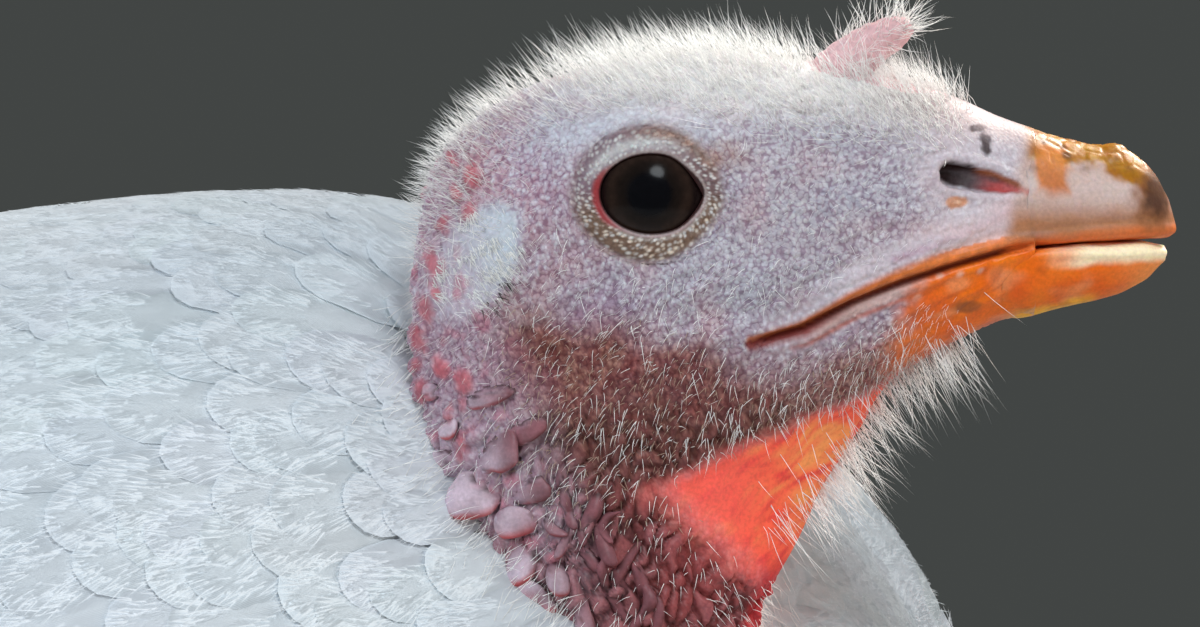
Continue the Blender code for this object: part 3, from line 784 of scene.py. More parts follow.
def face_colours(p, at):
    """Pale dots over purple and rosy ground, with the brow, the crown and the ear."""
    tone, fine, pebbles = at.tone, at.fine, at.pebbles
    ground = layered(
        mix((0.26, 0.195, 0.26), (0.39, 0.21, 0.23), tone),
        ((0.42, 0.44, 0.53), blob(p, (13.0, 15.0, 0.0), (17.0, 14.0, 16.0)) * 0.5),
        ((0.50, 0.24, 0.28), blob(p, (-21.0, 12.0, 3.0), (10.0, 10.0, 10.0)) * 0.8),
    )
    tops = mix((0.60, 0.58, 0.645), (0.69, 0.71, 0.75), at.mark)
    tops = mix(tops, (0.66, 0.46, 0.50), smooth(0.55, 0.9, tone) * 0.5)
    violet = blob(p, (-8.0, 15.0, -15.0), (7.5, 12.0, 3.6))
    violet += 0.8 * blob(p, (-15.0, 15.0, 3.5), (5.0, 12.0, 5.0))
    tan = blob(p, (-16.5, 15.0, -16.5), (6.0, 12.0, 5.0))
    tan += 0.7 * blob(p, (-9.0, 15.0, -27.0), (10.0, 12.0, 5.0))
    colour = layered(
        mix(ground, tops, np.clip(0.12 + 0.95 * pebbles * (0.6 + 0.5 * fine), 0, 1)),
        ((0.56, 0.60, 0.69), blob(p, (12.0, 15.0, -10.0), (14.0, 12.0, 3.6)) * 0.55),
        ((0.60, 0.62, 0.68), blob(p, (20.0, 12.0, 8.0), (13.0, 12.0, 5.0)) * 0.4),
        ((0.26, 0.15, 0.30), np.clip(violet, 0, 1) * 0.5 * (0.35 + 0.9 * fine) * (1 - 0.5 * pebbles)),
        ((0.42, 0.27, 0.20), np.clip(tan, 0, 1) * 0.55 * (0.3 + 0.9 * fine)),
        ((0.62, 0.66, 0.73), at.pale_brow * 0.7),
        ((0.62, 0.66, 0.73), blob(p, (-13.0, 14.0, 8.0), (6.0, 12.0, 5.0)) * 0.4),
    )
    dusky = blob(p, (19.0, 12.0, -4.0), (14.0, 12.0, 8.0))[:, None]
    colour = colour * (1 - dusky * np.array((0.09, 0.14, 0.18)))
    grey = blob(p, (28.0, 12.0, 2.0), (9.0, 12.0, 7.0)) + 0.8 * blob(p, (17.0, 14.0, -3.0), (5.0, 12.0, 3.6))
    brown_spot = blob(p, (8.6, 15.0, 5.4), (3.6, 9.0, 1.9)) * (0.4 + 0.7 * fine)
    return layered(
        colour,
        ((0.84, 0.82, 0.81), at.crown * (0.35 + 0.65 * smooth(-16.0, -3.0, at.x)) * 0.8),
        ((0.40, 0.43, 0.50), np.clip(grey, 0, 1) * 0.45 * (1 - 0.6 * pebbles)),
        ((0.52, 0.565, 0.63), smooth(1.28, 0.9, at.ear) * at.side),
        ((0.34, 0.18, 0.13), np.clip(brown_spot, 0, 1) * 0.8),
    )


def jaw_colours(p, at):
    """The jaw: brown and mauve skin, rough with tan pebbles."""
    fine, pebbles = at.fine, at.pebbles
    patchy = np.clip(ripple(p, 3.4, 68) * 0.9 + 0.5, 0, 1)
    pits = mix((0.14, 0.042, 0.032), (0.16, 0.048, 0.054), patchy)
    bumps = mix((0.48, 0.32, 0.23), (0.40, 0.19, 0.18), patchy)
    skin = mix(pits, bumps, np.clip(0.06 + 1.0 * pebbles * (0.30 + 0.9 * fine), 0, 1))
    pinker = mix((0.34, 0.19, 0.18), (0.56, 0.42, 0.38), np.clip(pebbles * (0.5 + fine), 0, 1))
    skin = mix(skin, pinker, smooth(10.0, 22.0, at.x) * 0.75)
    clumps = smooth(0.1, 0.55, ripple(p, 2.6, 81))
    skin = mix(skin, skin * np.array((0.80, 0.42, 0.42)), clumps * 0.8)
    return skin * np.array((0.95, 0.74, 0.70))


def neck_colours(p, at):
    """The neck: paler folds over maroon skin, the valleys between them darkened nearly to black with painted
    shade.
    """
    folds, mark = fold_field(p)
    folds_top = mix((0.28, 0.072, 0.075), (0.34, 0.13, 0.14), mark)
    brownish = mix((0.085, 0.026, 0.020), (0.28, 0.13, 0.10), np.clip(at.pebbles * (0.4 + at.fine), 0, 1))
    # Painted shade: the near-black colour in the valleys between the folds.
    return layered(
        mix((0.055, 0.013, 0.014), folds_top, smooth(0.15, 0.95, folds)),
        ((0.34, 0.040, 0.035), blob(p, (8.0, 12.0, -44.0), (7.0, 14.0, 12.0)) * 0.5),
        (brownish, smooth(-44.0, -31.0, at.z) * 0.75),
    )


def throat_colours(p, at):
    """The throat's thin skin, with the glow of light shining through it from behind painted in."""
    bend = creased(p)
    flow = ripple(strands(bend, (0.78, 0.62), (-0.62, 0.78), (0.2, 0.5, 1.0)), 0.85, 22)
    flow = flow * 0.8 + 0.5 * ripple(strands(bend, OVER_NECK, DOWN_NECK, (0.3, 0.5, 1.0)), 3.0, 77)
    # Painted glow: bright orange where light would shine through the thin skin, strongest in two patches and
    # along the strands.
    glow = blob(p, (24.0, 9.0, -33.5), (7.5, 14.0, 4.0)) + blob(p, (21.0, 9.0, -41.5), (3.6, 14.0, 5.5))
    lights = np.clip(glow, 0, 1) * (0.55 + 0.9 * flow)
    lights = lights + 0.45 * smooth(0.15, 0.6, flow) * smooth(-52, -44, at.z)
    return layered(
        mix((1.0, 0.125, 0.065), (0.78, 0.050, 0.048), smooth(0.05, 0.6, -flow) * 0.8),
        ((1.0, 0.38, 0.11), np.clip(lights, 0, 1) * 0.8),
        ((0.92, 0.13, 0.11), smooth(17.0, 8.0, at.x) * 0.55),
        ((0.62, 0.030, 0.040), smooth(-46.0, -53.0, at.z) * 0.7),
    )


def lip_layers(p, at, horn):
    """The lips and the horn of the lower jaw, with painted shade below the mouth's corner and along its
    crease.
    """
    x, z, side, fine = at.x, at.z, at.side, at.fine
    above_mouth, below_mouth = at.under < 0.1, at.under > -0.1
    over_lip = at.mouth - at.spread
    at.pale = smooth(4.6, 2.2, over_lip) * smooth(-0.4, 0.6, over_lip) * above_mouth * smooth(16.0, 27.0, x)
    line = along_line(p, [(48.6, 0.2), (45.0, -2.6), (39.5, -4.9), (31.0, -7.8)])[0]
    line = bell(line + 0.25 * ripple(p, 1.4, 78), 0.55) * above_mouth
    lip_tone = mix((0.58, 0.15, 0.035), (0.76, 0.21, 0.05), smooth(24.0, 40.0, x))
    under_lip = smooth(2.3, 1.3, at.mouth) * below_mouth * smooth(0.93, 0.75, at.mouth_share)
    at.under_lip = under_lip * (smooth(0.28, 0.46, at.mouth_share) * side)
    seam = bell(at.mouth - 2.1, 0.35) * below_mouth * smooth(0.95, 0.8, at.mouth_share)
    dark_spot = smooth(1.3, 0.6, np.hypot((x - 40.6) / 2.1, (z + 14.3) / 0.9) + 0.3 * ripple(p, 1.0, 72))
    whitish = smooth(0.30, 0.12, cells(p, 3.3, 61)[0]) * at.low_horn * smooth(3.5, 1.5, at.mouth)
    # Painted shadow: a dark line just below the mouth, near its corner.
    corner = smooth(1.5, 0.7, at.mouth) * (at.under > -0.2) * smooth(0.62, 0.84, at.mouth_share)
    return [
        ((0.60, 0.53, 0.58), at.pale * 0.72 * side),
        ((0.42, 0.22, 0.31), line * 0.55 * side),
        (lip_tone * (0.75 + 0.4 * fine[:, None]), at.upper_lip),
        (lip_tone * 0.55, at.upper_lip * bell(over_lip + 0.5, 0.35) * 0.4),
        ((0.60, 0.40, 0.37), at.under_lip * 0.85),
        ((0.46, 0.10, 0.05), seam * 0.7 * side),
        (mix(horn, (0.50, 0.12, 0.05), smooth(42.0, 24.0, x) * 0.75), at.low_horn),
        ((0.20, 0.06, 0.02), dark_spot * 0.75 * side),
        ((0.80, 0.62, 0.52), whitish * 0.6),
        # Painted shadow below the mouth's corner.
        ((0.20, 0.025, 0.02), corner * 0.9 * side),
        # Painted shade along the crease between the lips.
        ((0.12, 0.014, 0.01), bell(at.mouth, 0.45) * 0.95 * side),
    ]


def cere_layers(p, at, horn):
    """The cere between face and horn, painted darker on top as shade, its nostril with painted shade inside,
    and a small dark scab.
    """
    x, z, side = at.x, at.z, at.side
    at.cere = smooth(30.0, 39.0, x + 0.35 * z) * (at.under < -2.0)
    rosy = blob(p, (47.5, 8.0, -2.0), (4.5, 8.0, 2.0)) + 0.7 * blob(p, (40.0, 9.0, -4.4), (7.0, 8.0, 1.4))
    at.top_horn = smooth(46.2, 48.4, x - 0.18 * (z - 3) + at.wander * 0.4) * (at.under < 0)
    at.inside, pit_share = nostril(p)
    above = smooth(0.3, -0.3, below_line(p, NOSTRIL_BACK, NOSTRIL_FRONT))
    shade = bell(pit_share - 0.66, 0.12) * above * smooth(0.2, 0.7, at.inside)
    # Painted shade: the nostril's pit near black at its deep back end, turning red towards the front, with a
    # darker patch on its upper side.
    flesh = layered(
        mix((0.016, 0.006, 0.005), (0.40, 0.040, 0.035), smooth(0.26, 0.8, pit_share)),
        ((0.34, 0.10, 0.03), smooth(1.1, 0.4, at.inside) * smooth(0.25, 0.5, pit_share) * above),
        ((0.06, 0.014, 0.010), shade * 0.8),
    )
    crease = bell(along_line(p, [NOSTRIL_FRONT, (49.0, 0.2)])[0], 0.45)
    scab = np.minimum(np.hypot((x - 43.0) / 0.75, (z - 6.7) / 1.5),
                      np.hypot((x - 41.9) / 1.2, (z - 8.6) / 0.5))
    at.scab = smooth(1.25, 0.6, scab + 0.45 * ripple(p, 0.8, 62))
    spot = smooth(1.3, 0.7, np.hypot((x - 38.9) / 1.5, (z + 0.8) / 0.75) + 0.4 * ripple(p, 0.9, 63))
    spot_top = smooth(0.5, 0.0, np.hypot((x - 39.2) / 1.5, (z + 0.7) / 0.75))
    return [
        ((0.62, 0.57, 0.61), at.cere * 0.6),
        # Painted shade: the cere's top made darker, to tone down the light that falls on it.
        ((0.40, 0.31, 0.32), at.cere * smooth(6.0, 9.5, z + 0.25 * (x - 42)) * 0.85),
        ((0.64, 0.40, 0.40), np.clip(rosy, 0, 1) * 0.6),
        (horn, at.top_horn),
        (flesh, smooth(-0.25, 0.3, at.inside) * side),
        ((0.45, 0.10, 0.08), crease * 0.7 * side * (at.inside < 0)),
        ((0.022, 0.009, 0.007), at.scab * 0.95 * side),
        ((0.58, 0.22, 0.07), spot * 0.8 * side),
        ((0.72, 0.50, 0.36), spot_top * 0.7 * side),
    ]


def head_colours(p):
    """The skin's colour, roughness and share of fine pebbles by place."""
    at = head_regions(p)
    x, z, side = at.x, at.z, at.side
    at.tone = np.clip(ripple(p, 5.0, 20) * 0.8 + 0.5, 0, 1)
    at.fine = np.clip(ripple(p, 1.3, 21) * 0.8 + 0.5, 0, 1)
    at.pebbles, at.mark = papillae(p)
    at.ear = ear_ratio(x, z)
    at.pale_brow = np.clip(blob(p, (-2.0, 14.0, 8.6), (11.0, 12.0, 3.4)), 0, 1)
    at.upper_lip, at.low_horn, at.spread = horn_masks(p, at)
    warts = wart_field(p)
    nape = at.nape * (0.35 + 0.65 * smooth(-52.0, -34.0, z))
    blotches = smooth(0.15, 0.6, ripple(p, 2.6, 69)) * at.nape * smooth(-2, -8, z)
    front_edge = below_line(p, (25.0, -36.0), (14.6, -58.0)) + 1.0
    front_band = smooth(3.2, 1.2, np.abs(front_edge)) * smooth(-46, -51, z)
    horn = horn_colours(p)
    colour = layered(
        face_colours(p, at),
        (jaw_colours(p, at), at.brown * 0.94),
        (neck_colours(p, at), at.neck * smooth(-22.0, -31.0, z) * 0.95),
        (mix((0.49, 0.34, 0.43), (0.62, 0.57, 0.65), at.pebbles), nape * 0.78),
        ((0.56, 0.13, 0.18), blotches * 0.45),
        (mix((0.40, 0.045, 0.065), (0.60, 0.13, 0.15), at.fine), warts * 0.72),
        (throat_colours(p, at), np.clip(at.throat, 0, 1)),
        ((0.50, 0.02, 0.025), front_band * 0.8),
        *lip_layers(p, at, horn),
        *cere_layers(p, at, horn),
    )
    smoother = np.maximum(np.maximum(at.low_horn, at.top_horn), np.maximum(at.upper_lip, at.throat * 0.4))
    rough = mix(0.52, 0.38, smoother)
    rough = mix(rough, 0.42, at.neck * 0.8)
    rough = mix(rough, 0.95, smooth(-0.25, 0.3, at.inside) * side)
    rough = mix(rough, 0.9, at.scab * side)
    lips = smooth(3.4, 2.2, at.mouth) * smooth(0.98, 0.9, at.mouth_share) * side
    pebbly = (1 - at.low_horn) * (1 - at.upper_lip) * (1 - lips) * (1 - 0.8 * at.crown) * (1 - 0.5 * at.neck)
    pebbly *= (1 - smooth(1.15, 0.8, at.ear) * side) * (1 - 0.7 * warts)
    pebbly *= (1 - 0.75 * at.cere) * (1 - at.throat) * (1 - 0.75 * at.pale * side) * (1 - 0.8 * at.under_lip)
    pebbly *= 1 - 0.55 * smooth(0.0, 0.8, at.pale_brow)
    return colour, rough, np.clip(pebbly, 0, 1)


def make_face_mesh():
    last = len(FACE_SECTIONS) - 1.0
    stations = np.concatenate([even_stations(FACE_SECTIONS, 0.0, 9.6, 0.26),
                               even_stations(FACE_SECTIONS, 9.6, last, 0.40)[1:]])
    mesh = outward(tube_mesh("face", rings_of(FACE_SECTIONS, stations, 500)))
    set_points(mesh, sculpt_head(points_of(mesh), normals_of(mesh)))
    return mesh


def tree_of(mesh):
    polygons = [tuple(f.vertices) for f in mesh.polygons]
    return BVHTree.FromPolygons([v.co for v in mesh.vertices], polygons)


face_mesh = make_face_mesh()
face_tree = tree_of(face_mesh)


# ---------------------------------------------------------------- eyes and lids

LID_WIDTH = 4.4


def eye_outline(theta, out=0.0):
    """The opening's edge, or a line that far outside it: pointed in front, round behind."""
    c, s = np.cos(theta), np.sin(theta)
    point = 1.0 + 0.62 * smooth(0.1, 1.0, c) * np.exp(-out / 1.6)
    x = (EYE_LONG + out) * c
    z = (EYE_TALL + out) * np.sign(s) * np.abs(s) ** point
    return x, z - 0.35 * smooth(0.2, 1.0, c) * np.exp(-out / 3.0) + EYE_LIFT


def lid_beads(theta, out):
    """The lids' small beads, in uneven rows: how high from 0 to 1, and a number for each."""
    radius = 6.4 + out
    spots = np.stack([np.cos(theta) * radius, np.sin(theta) * radius, out * 0 + 3.0], axis=-1).reshape(-1, 3)
    warp = ripple(spots, 2.6, 70).reshape(np.shape(theta))
    run = (theta + 0.035 * warp) * 6.4 * 2.0 + out * 0.7
    rows = (out + 0.10 * warp) * 1.75
    near, _, mark = cells(np.stack([run.ravel(), rows.ravel(), np.full(run.size, 9.0)], axis=1), 1.0, 71)
    beads = smooth(0.62, 0.12, near).reshape(np.shape(theta))
    return beads, mark.reshape(np.shape(theta))


def lid_mesh(sign):
    """The two lids as one closed ring round the eye: a smooth margin, rows of beads, an outer crease."""
    around, steps = 460, 44
    theta = np.linspace(0, 2 * math.pi, around, endpoint=False)
    out = np.linspace(0.0, LID_WIDTH, steps)[:, None] + 0 * theta[None, :]
    x, z = eye_outline(theta[None, :], out)
    ball = EYE_SIDE + np.sqrt(np.maximum(EYE_RADIUS**2 - x**2 - z**2, 4.0))
    skin = np.empty_like(x)
    for i in range(steps):
        for j in range(around):
            hit = face_tree.ray_cast(Vector((x[i, j], sign * 40.0, z[i, j])), Vector((0, -sign, 0)))[0]
            skin[i, j] = abs(hit.y) if hit else 15.0
    rim = skin[-4:].mean(axis=0)[None, :] + 0 * x
    share = out / LID_WIDTH
    level = mix(ball[0][None, :] + 0.30, rim, smooth(0.0, 1.0, share) ** 0.9)
    level = np.where(out < 1.6, np.maximum(level, ball + 0.25), level)
    level += 0.38 * np.sin(math.pi * np.minimum(1.0, share * 1.1)) ** 0.8
    beads, mark = lid_beads(theta[None, :] + 0 * out, out)
    level += (beads * (0.6 + 0.6 * mark) - 0.3) * 0.26 * smooth(0.6, 0.95, out) * smooth(1.0, 0.86, share)
    behind = smooth(0.5, -0.5, np.cos(theta))[None, :]
    level -= 0.34 * behind * bell(out - 3.35 - 0.12 * np.sin(theta * 3 + 1), 0.25)
    level += 0.10 * bell(out - 0.45, 0.3)
    level = mix(level, rim - 0.4, smooth(0.88, 1.0, share))
    tops = np.stack([x, sign * level, z], axis=2)
    inner, outer = tops[:1].copy(), tops[-1:].copy()
    inner[..., 1] -= sign * 1.6
    outer[..., 1] -= sign * 2.4
    rings = np.concatenate([inner, tops, outer])
    count = len(rings)
    last = np.arange(around)
    after = (last + 1) % around
    closing = np.stack([(count - 1) * around + last, (count - 1) * around + after, after, last], axis=1)
    faces = np.concatenate([grid_faces(count, around), closing])
    return outward(mesh_from("lid", rings.reshape(-1, 3), faces))


def lid_colours(p, colour, rough, pebbly):
    """Paints the lids over the skin's colours."""
    x, y, z = p[:, 0], np.abs(p[:, 1]), p[:, 2] - EYE_LIFT
    theta = np.arctan2(z / EYE_TALL, x / EYE_LONG)
    ex, ez = eye_outline(theta)
    out = (np.hypot(x, z) - np.hypot(ex, ez - EYE_LIFT)) * 0.95
    near_eye = (y > 8) & (out < LID_WIDTH + 0.6) & (np.abs(x) < 13) & (np.abs(z) < 11)
    up = np.sin(theta)
    lower, upper = smooth(0.2, -0.5, up), smooth(0.1, 0.7, up)
    front = smooth(-0.1, 0.8, np.cos(theta))
    beads, mark = lid_beads(theta, np.maximum(out, 0))
    valley = mix((0.20, 0.13, 0.16), (0.17, 0.105, 0.075), np.clip(lower + front * 0.4, 0, 1))
    tips = mix((0.62, 0.61, 0.60), (0.62, 0.52, 0.43), lower * smooth(0.3, 0.8, mark))
    tone = mix(valley, tips, np.clip(beads * (0.65 + 0.6 * mark), 0, 1))
    tone = mix(tone, (0.66, 0.67, 0.66), upper * (1 - front) * bell(out - 1.5, 0.8) * 0.6)
    tone = mix(tone, (0.70, 0.68, 0.66), lower * bell(out - 0.75, 0.2) * (0.3 + 0.6 * beads))
    brow = upper * smooth(-0.6, 0.2, np.cos(theta)) * smooth(1.3, 2.6, out)
    tone = mix(tone, np.array((0.27, 0.16, 0.12)) * (0.6 + 0.9 * mark[:, None]), brow * 0.8)
    margin = mix((0.34, 0.28, 0.27), (0.36, 0.27, 0.28), lower)
    tone = mix(tone, margin, bell(out - 0.36, 0.22) * 0.9)
    back = smooth(-0.45, -0.95, np.cos(theta - 0.15))
    red_width = 0.15 + 0.85 * back
    tone = mix(tone, (0.30, 0.04, 0.045), smooth(red_width + 0.35, red_width - 0.3, out) * back)
    tone = mix(tone, DARK, smooth(0.30, 0.08, out))
    crease = bell(out - 3.35 - 0.12 * np.sin(theta * 3 + 1), 0.28) * (1 - front)
    tone = mix(tone, (0.20, 0.12, 0.13), crease * 0.5)
    reach = LID_WIDTH - 1.1 * front * (1 - 0.5 * upper)
    share = near_eye * smooth(reach + 0.1, reach - 1.5, out)
    return mix(colour, tone, share), mix(rough, 0.42, share), pebbly * (1 - 0.85 * share)


def make_eye(side, sign):
    bm = bmesh.new()
    bmesh.ops.create_uvsphere(bm, u_segments=96, v_segments=64, radius=EYE_RADIUS)
    bmesh.ops.rotate(bm, verts=bm.verts, cent=(0, 0, 0), matrix=Matrix.Rotation(-sign * math.pi / 2, 3, "X"))
    mesh = bpy.data.meshes.new("eyeball_" + side)
    bm.to_mesh(mesh)
    bm.free()
    p = points_of(mesh)
    away = np.hypot(p[:, 0] + 0.3, p[:, 2] - EYE_LIFT)
    spoke = ripple(np.stack([np.arctan2(p[:, 2], p[:, 0]) * 6, away * 0.6, away * 0], axis=1), 1.0, 30)
    colour = mix((0.003, 0.003, 0.004), (0.009, 0.006, 0.005), smooth(2.4, 3.4, away))
    colour = mix(colour, np.array((0.021, 0.012, 0.009)) * (1 + 0.3 * spoke[:, None]), smooth(3.6, 4.9, away))
    colour = mix(colour, (0.008, 0.004, 0.004), smooth(5.1, 5.8, away))
    p[:, 1] += sign * (EYE_SIDE + 0.35 * smooth(5.8, 2.0, away) * 1.0)
    set_points(mesh, placed(p, HEAD))
    paint(mesh, "tint", colour)
    add_piece("eyeball_" + side, mesh, EYE_FINISH, ["eye_" + side])


# ---------------------------------------------------------------- joining

KEPT_LAYERS = "position", ".edge_verts", ".corner_vert", ".corner_edge", "sharp_face", "material_index"


def union(meshes, name):
    """One closed mesh from several that cross."""
    base = bpy.data.objects.new(name, meshes[0])
    bpy.context.scene.collection.objects.link(base)
    others = []
    for mesh in meshes[1:]:
        other = bpy.data.objects.new(name + "_part", mesh)
        bpy.context.scene.collection.objects.link(other)
        modifier = base.modifiers.new("join", "BOOLEAN")
        modifier.operation = "UNION"
        modifier.solver = "MANIFOLD"
        modifier.object = other
        others.append(other)
    bpy.context.view_layer.update()
    graph = bpy.context.evaluated_depsgraph_get()
    joined = bpy.data.meshes.new_from_object(base.evaluated_get(graph))
    for obj in [base, *others]:
        bpy.data.objects.remove(obj)
    for layer in list(joined.attributes):
        if layer.name not in KEPT_LAYERS and not layer.is_required:
            joined.attributes.remove(layer)
    return joined


# ---------------------------------------------------------------- the body's skin

TRUNK_SECTIONS = [
    column(214, 378, 352, 14),
    column(207, 402, 316, 44, level=0.45),
    column(191, 416, 277, 72, level=0.46),
    column(163, 426, 240, 94, level=0.48),
    column(138, 447, 220, 106, level=0.50, upper=1.9),
    column(112, 482, 206, 116, level=0.50, upper=1.8),
    column(86, 492, 197, 124, level=0.50, upper=1.9),
    column(30, 489, 188, 134, level=0.52, upper=2.2),
    column(-40, 474, 186, 136, level=0.54, upper=2.2),
    column(-115, 440, 199, 124, level=0.56, upper=2.1),
    column(-185, 396, 232, 96, level=0.56),
    column(-242, 364, 272, 66, level=0.55),
    column(-282, 342, 302, 40),
    column(-292, 334, 312, 20),
]
TRUNK_KNOTS = np.arange(len(TRUNK_SECTIONS))
THIGH_CENTRES = [(4, 70, 262), (0, 76, 226), (-13, 80, 190), (-32, 82, 158), (-43, 82, 134)]
THIGH_SIZES = [(52, 36), (46, 33), (34, 26), (21, 17), (12.5, 11.0)]
HOCK, ANKLE = np.array((-44.0, 82.0, 131.3)), np.array((-18.0, 84.0, 17.0))
COAT = 9.0  # how deep the plumage is over the trunk
THIGH_COAT = 7.0, 1.6  # and over a thigh, at its top and at its foot


def trunk_mesh():
    stations = even_stations(TRUNK_SECTIONS, 0.45, len(TRUNK_SECTIONS) - 1.3, 5.0)
    half_widths = hermite(TRUNK_KNOTS, TRUNK_SECTIONS, stations)[:, 4]
    rings = rings_of(TRUNK_SECTIONS, stations, 180, -np.minimum(COAT, half_widths * 0.4))
    return outward(tube_mesh("trunk_skin", rings))


def thigh_rings(sign, count, around):
    at = np.linspace(0.0, len(THIGH_CENTRES) - 1.0, count)
    knots = np.arange(len(THIGH_CENTRES))
    centres, sizes = hermite(knots, THIGH_CENTRES, at), hermite(knots, THIGH_SIZES, at)
    sizes = sizes - np.linspace(*THIGH_COAT, count)[:, None]
    angles = np.linspace(0, 2 * math.pi, around, endpoint=False)
    ring = centres[:, None, :] * np.array((1, sign, 1)) + np.zeros((1, around, 1))
    ring[..., 0] += sizes[:, 0:1] * np.cos(angles)
    ring[..., 1] += sizes[:, 1:2] * np.sin(angles)
    return ring


def moved_mesh(mesh, change):
    set_points(mesh, change(points_of(mesh)))
    return mesh


def to_head(points):
    return local(placed(points, BODY), HEAD)


# ---------------------------------------------------------------- snood and caruncles

SNOOD_LINE = [(21.5, 0, 12.5), (25.0, 0, 16.2), (28.6, 0, 19.0), (32.0, 0, 20.9), (33.9, 0, 21.6)]
SNOOD_RADII = [3.7, 3.3, 2.8, 2.1, 0.9]


def snood_mesh():
    at = np.linspace(0, len(SNOOD_LINE) - 1.0, 90)
    knots = np.arange(len(SNOOD_LINE))
    centres, radii = hermite(knots, SNOOD_LINE, at), hermite(knots, SNOOD_RADII, at)
    ahead = unit(np.gradient(centres, axis=0))
    over = np.cross(ahead, (0, 1, 0))
    angles = np.linspace(0, 2 * math.pi, 72, endpoint=False)
    out = over[:, None, :] * np.cos(angles)[None, :, None]
    out = out + np.array((0, 0.86, 0)) * np.sin(angles)[None, :, None]
    rings = centres[:, None, :] + out * radii[:, None, None]
    folds = ripple((rings * np.array((1.2, 0.5, 1.2))).reshape(-1, 3), 1.0, 40).reshape(rings.shape[:2])
    rings = rings + out * (folds * 0.24)[..., None]
    return outward(tube_mesh("snood_skin", rings))


# Lappets down the side of the nape: x, z, half length down, half width, how far they stand out.
BIG_LOBES = [
    (-20.6, -25.2, 1.6, 3.7, 1.2), (-15.8, -29.6, 1.5, 2.9, 1.0), (-26.0, -29.8, 1.6, 2.2, 1.2),
    (-19.6, -32.4, 3.0, 4.9, 2.1), (-26.4, -33.8, 1.5, 2.2, 1.3), (-22.4, -38.0, 3.1, 3.7, 2.1),
    (-27.4, -38.6, 1.5, 1.9, 1.9),
    (-15.4, -37.2, 2.0, 2.9, 1.2), (-23.4, -43.4, 2.3, 2.9, 1.7), (-17.6, -41.4, 2.0, 2.8, 1.4),
    (-21.2, -47.0, 2.2, 2.6, 1.7), (-16.9, -46.4, 3.4, 2.8, 1.9), (-15.4, -51.8, 3.3, 3.4, 2.0),
    (-20.2, -52.4, 2.3, 2.4, 1.6), (-12.2, -56.6, 2.9, 2.5, 1.8), (-17.4, -58.0, 3.0, 3.0, 1.9),
    (-8.6, -53.8, 2.8, 1.7, 1.5), (-11.8, -48.6, 2.6, 1.6, 1.4), (-28.4, -25.4, 1.2, 1.6, 0.9),
]
LOBE_ROWS, LOBE_AROUND = 11, 18


def lobe_points(centre, normal, down, half_down, half_across, stand, bow):
    """A soft lappet: it grows out of the skin above and hangs free below."""
    across = np.cross(normal, down)
    count, around = LOBE_ROWS + 2, LOBE_AROUND
    polar = np.linspace(0, math.pi, count)[1:-1, None]
    turn = np.linspace(0, 2 * math.pi, around, endpoint=False)[None, :]
    along = np.cos(polar) + 0 * turn
    wide, out = np.sin(polar) ** 0.8 * np.cos(turn), np.sin(polar) ** 0.8 * np.sin(turn)
    body = np.stack([along * half_down, wide * half_across * (1.0 - 0.14 * along), out * stand * 0.85],
                    axis=-1)
    body = np.concatenate([body.reshape(-1, 3), ((half_down, 0, 0), (-half_down, 0, 0))])
    low = 0.5 - 0.5 * body[:, 0] / half_down  # 0 where it grows out, 1 at its free edge
    body[:, 2] = body[:, 2] * (0.6 + 0.5 * low) + stand * (0.50 * low**1.2 - 0.22)
    body[:, 2] -= 0.10 * stand * (body[:, 1] / half_across) ** 2
    body[:, 1] += bow * half_across * (0.5 - (body[:, 0] / half_down) ** 2)
    body *= (1 + 0.20 * ripple(body * 0.8 + centre, 1.7, 41))[:, None]
    return centre + body[:, :1] * -down + body[:, 1:2] * across + body[:, 2:] * normal


def lobe_faces():
    rows, around = LOBE_ROWS, LOBE_AROUND
    tops = np.arange(around)
    after = (tops + 1) % around
    first, last = rows * around, rows * around + 1
    cap_one = np.stack([np.full(around, first), tops, after], axis=1)
    base = (rows - 1) * around
    cap_two = np.stack([np.full(around, last), base + after, base + tops], axis=1)
    return grid_faces(rows, around)[:, ::-1], np.concatenate([cap_one, cap_two])


def lobe_seeds():
    """Where the lobes sit: the lappets, and smaller folds by rule, on both sides."""
    seeds = []
    for x, z, half_down, half_across, stand in BIG_LOBES:
        for sign in (-1, 1):
            seeds.append((x, sign, z, half_down, half_across, stand, 0.0, rng.uniform(-0.2, 0.2)))
    for x, z in rng.uniform((-29, -66), (10, -34), (6500, 2)):
        sign = -1 if rng.random() < 0.5 else 1
        fore = x + 0.42 * (z + 20)
        depth = np.interp(fore, (-44, -26, -18, -13), (1.0, 1.0, 0.6, 0.0))
        depth = depth * np.interp(z, (-42, -34), (1.0, 0.3))
        if rng.random() > depth:
            continue
        size = rng.uniform(0.8, 1.25) * np.interp(fore, (-24, -16, 0), (1.1, 1.0, 0.7))
        seeds.append((x, sign, z, size * rng.uniform(2.2, 3.8), size * 0.9, size * 1.1, rng.normal(0.0, 0.65),
                      rng.normal(0.0, 1.0)))
    kept = []
    for seed in seeds:
        x, sign, z, half_down, half_across, stand = seed[:6]
        reach = half_down * 0.45 + half_across * 0.55
        far = [(x - k[0]) ** 2 + ((z - k[2]) * 0.75) ** 2
               > ((0.98 if k[4] > 1.55 else 0.52) * (reach + k[3] * 0.45 + k[4] * 0.55)) ** 2
               for k in kept if k[1] == sign]
        if stand > 1.0 and half_across > 1.3 or all(far):
            kept.append(seed)
    return kept


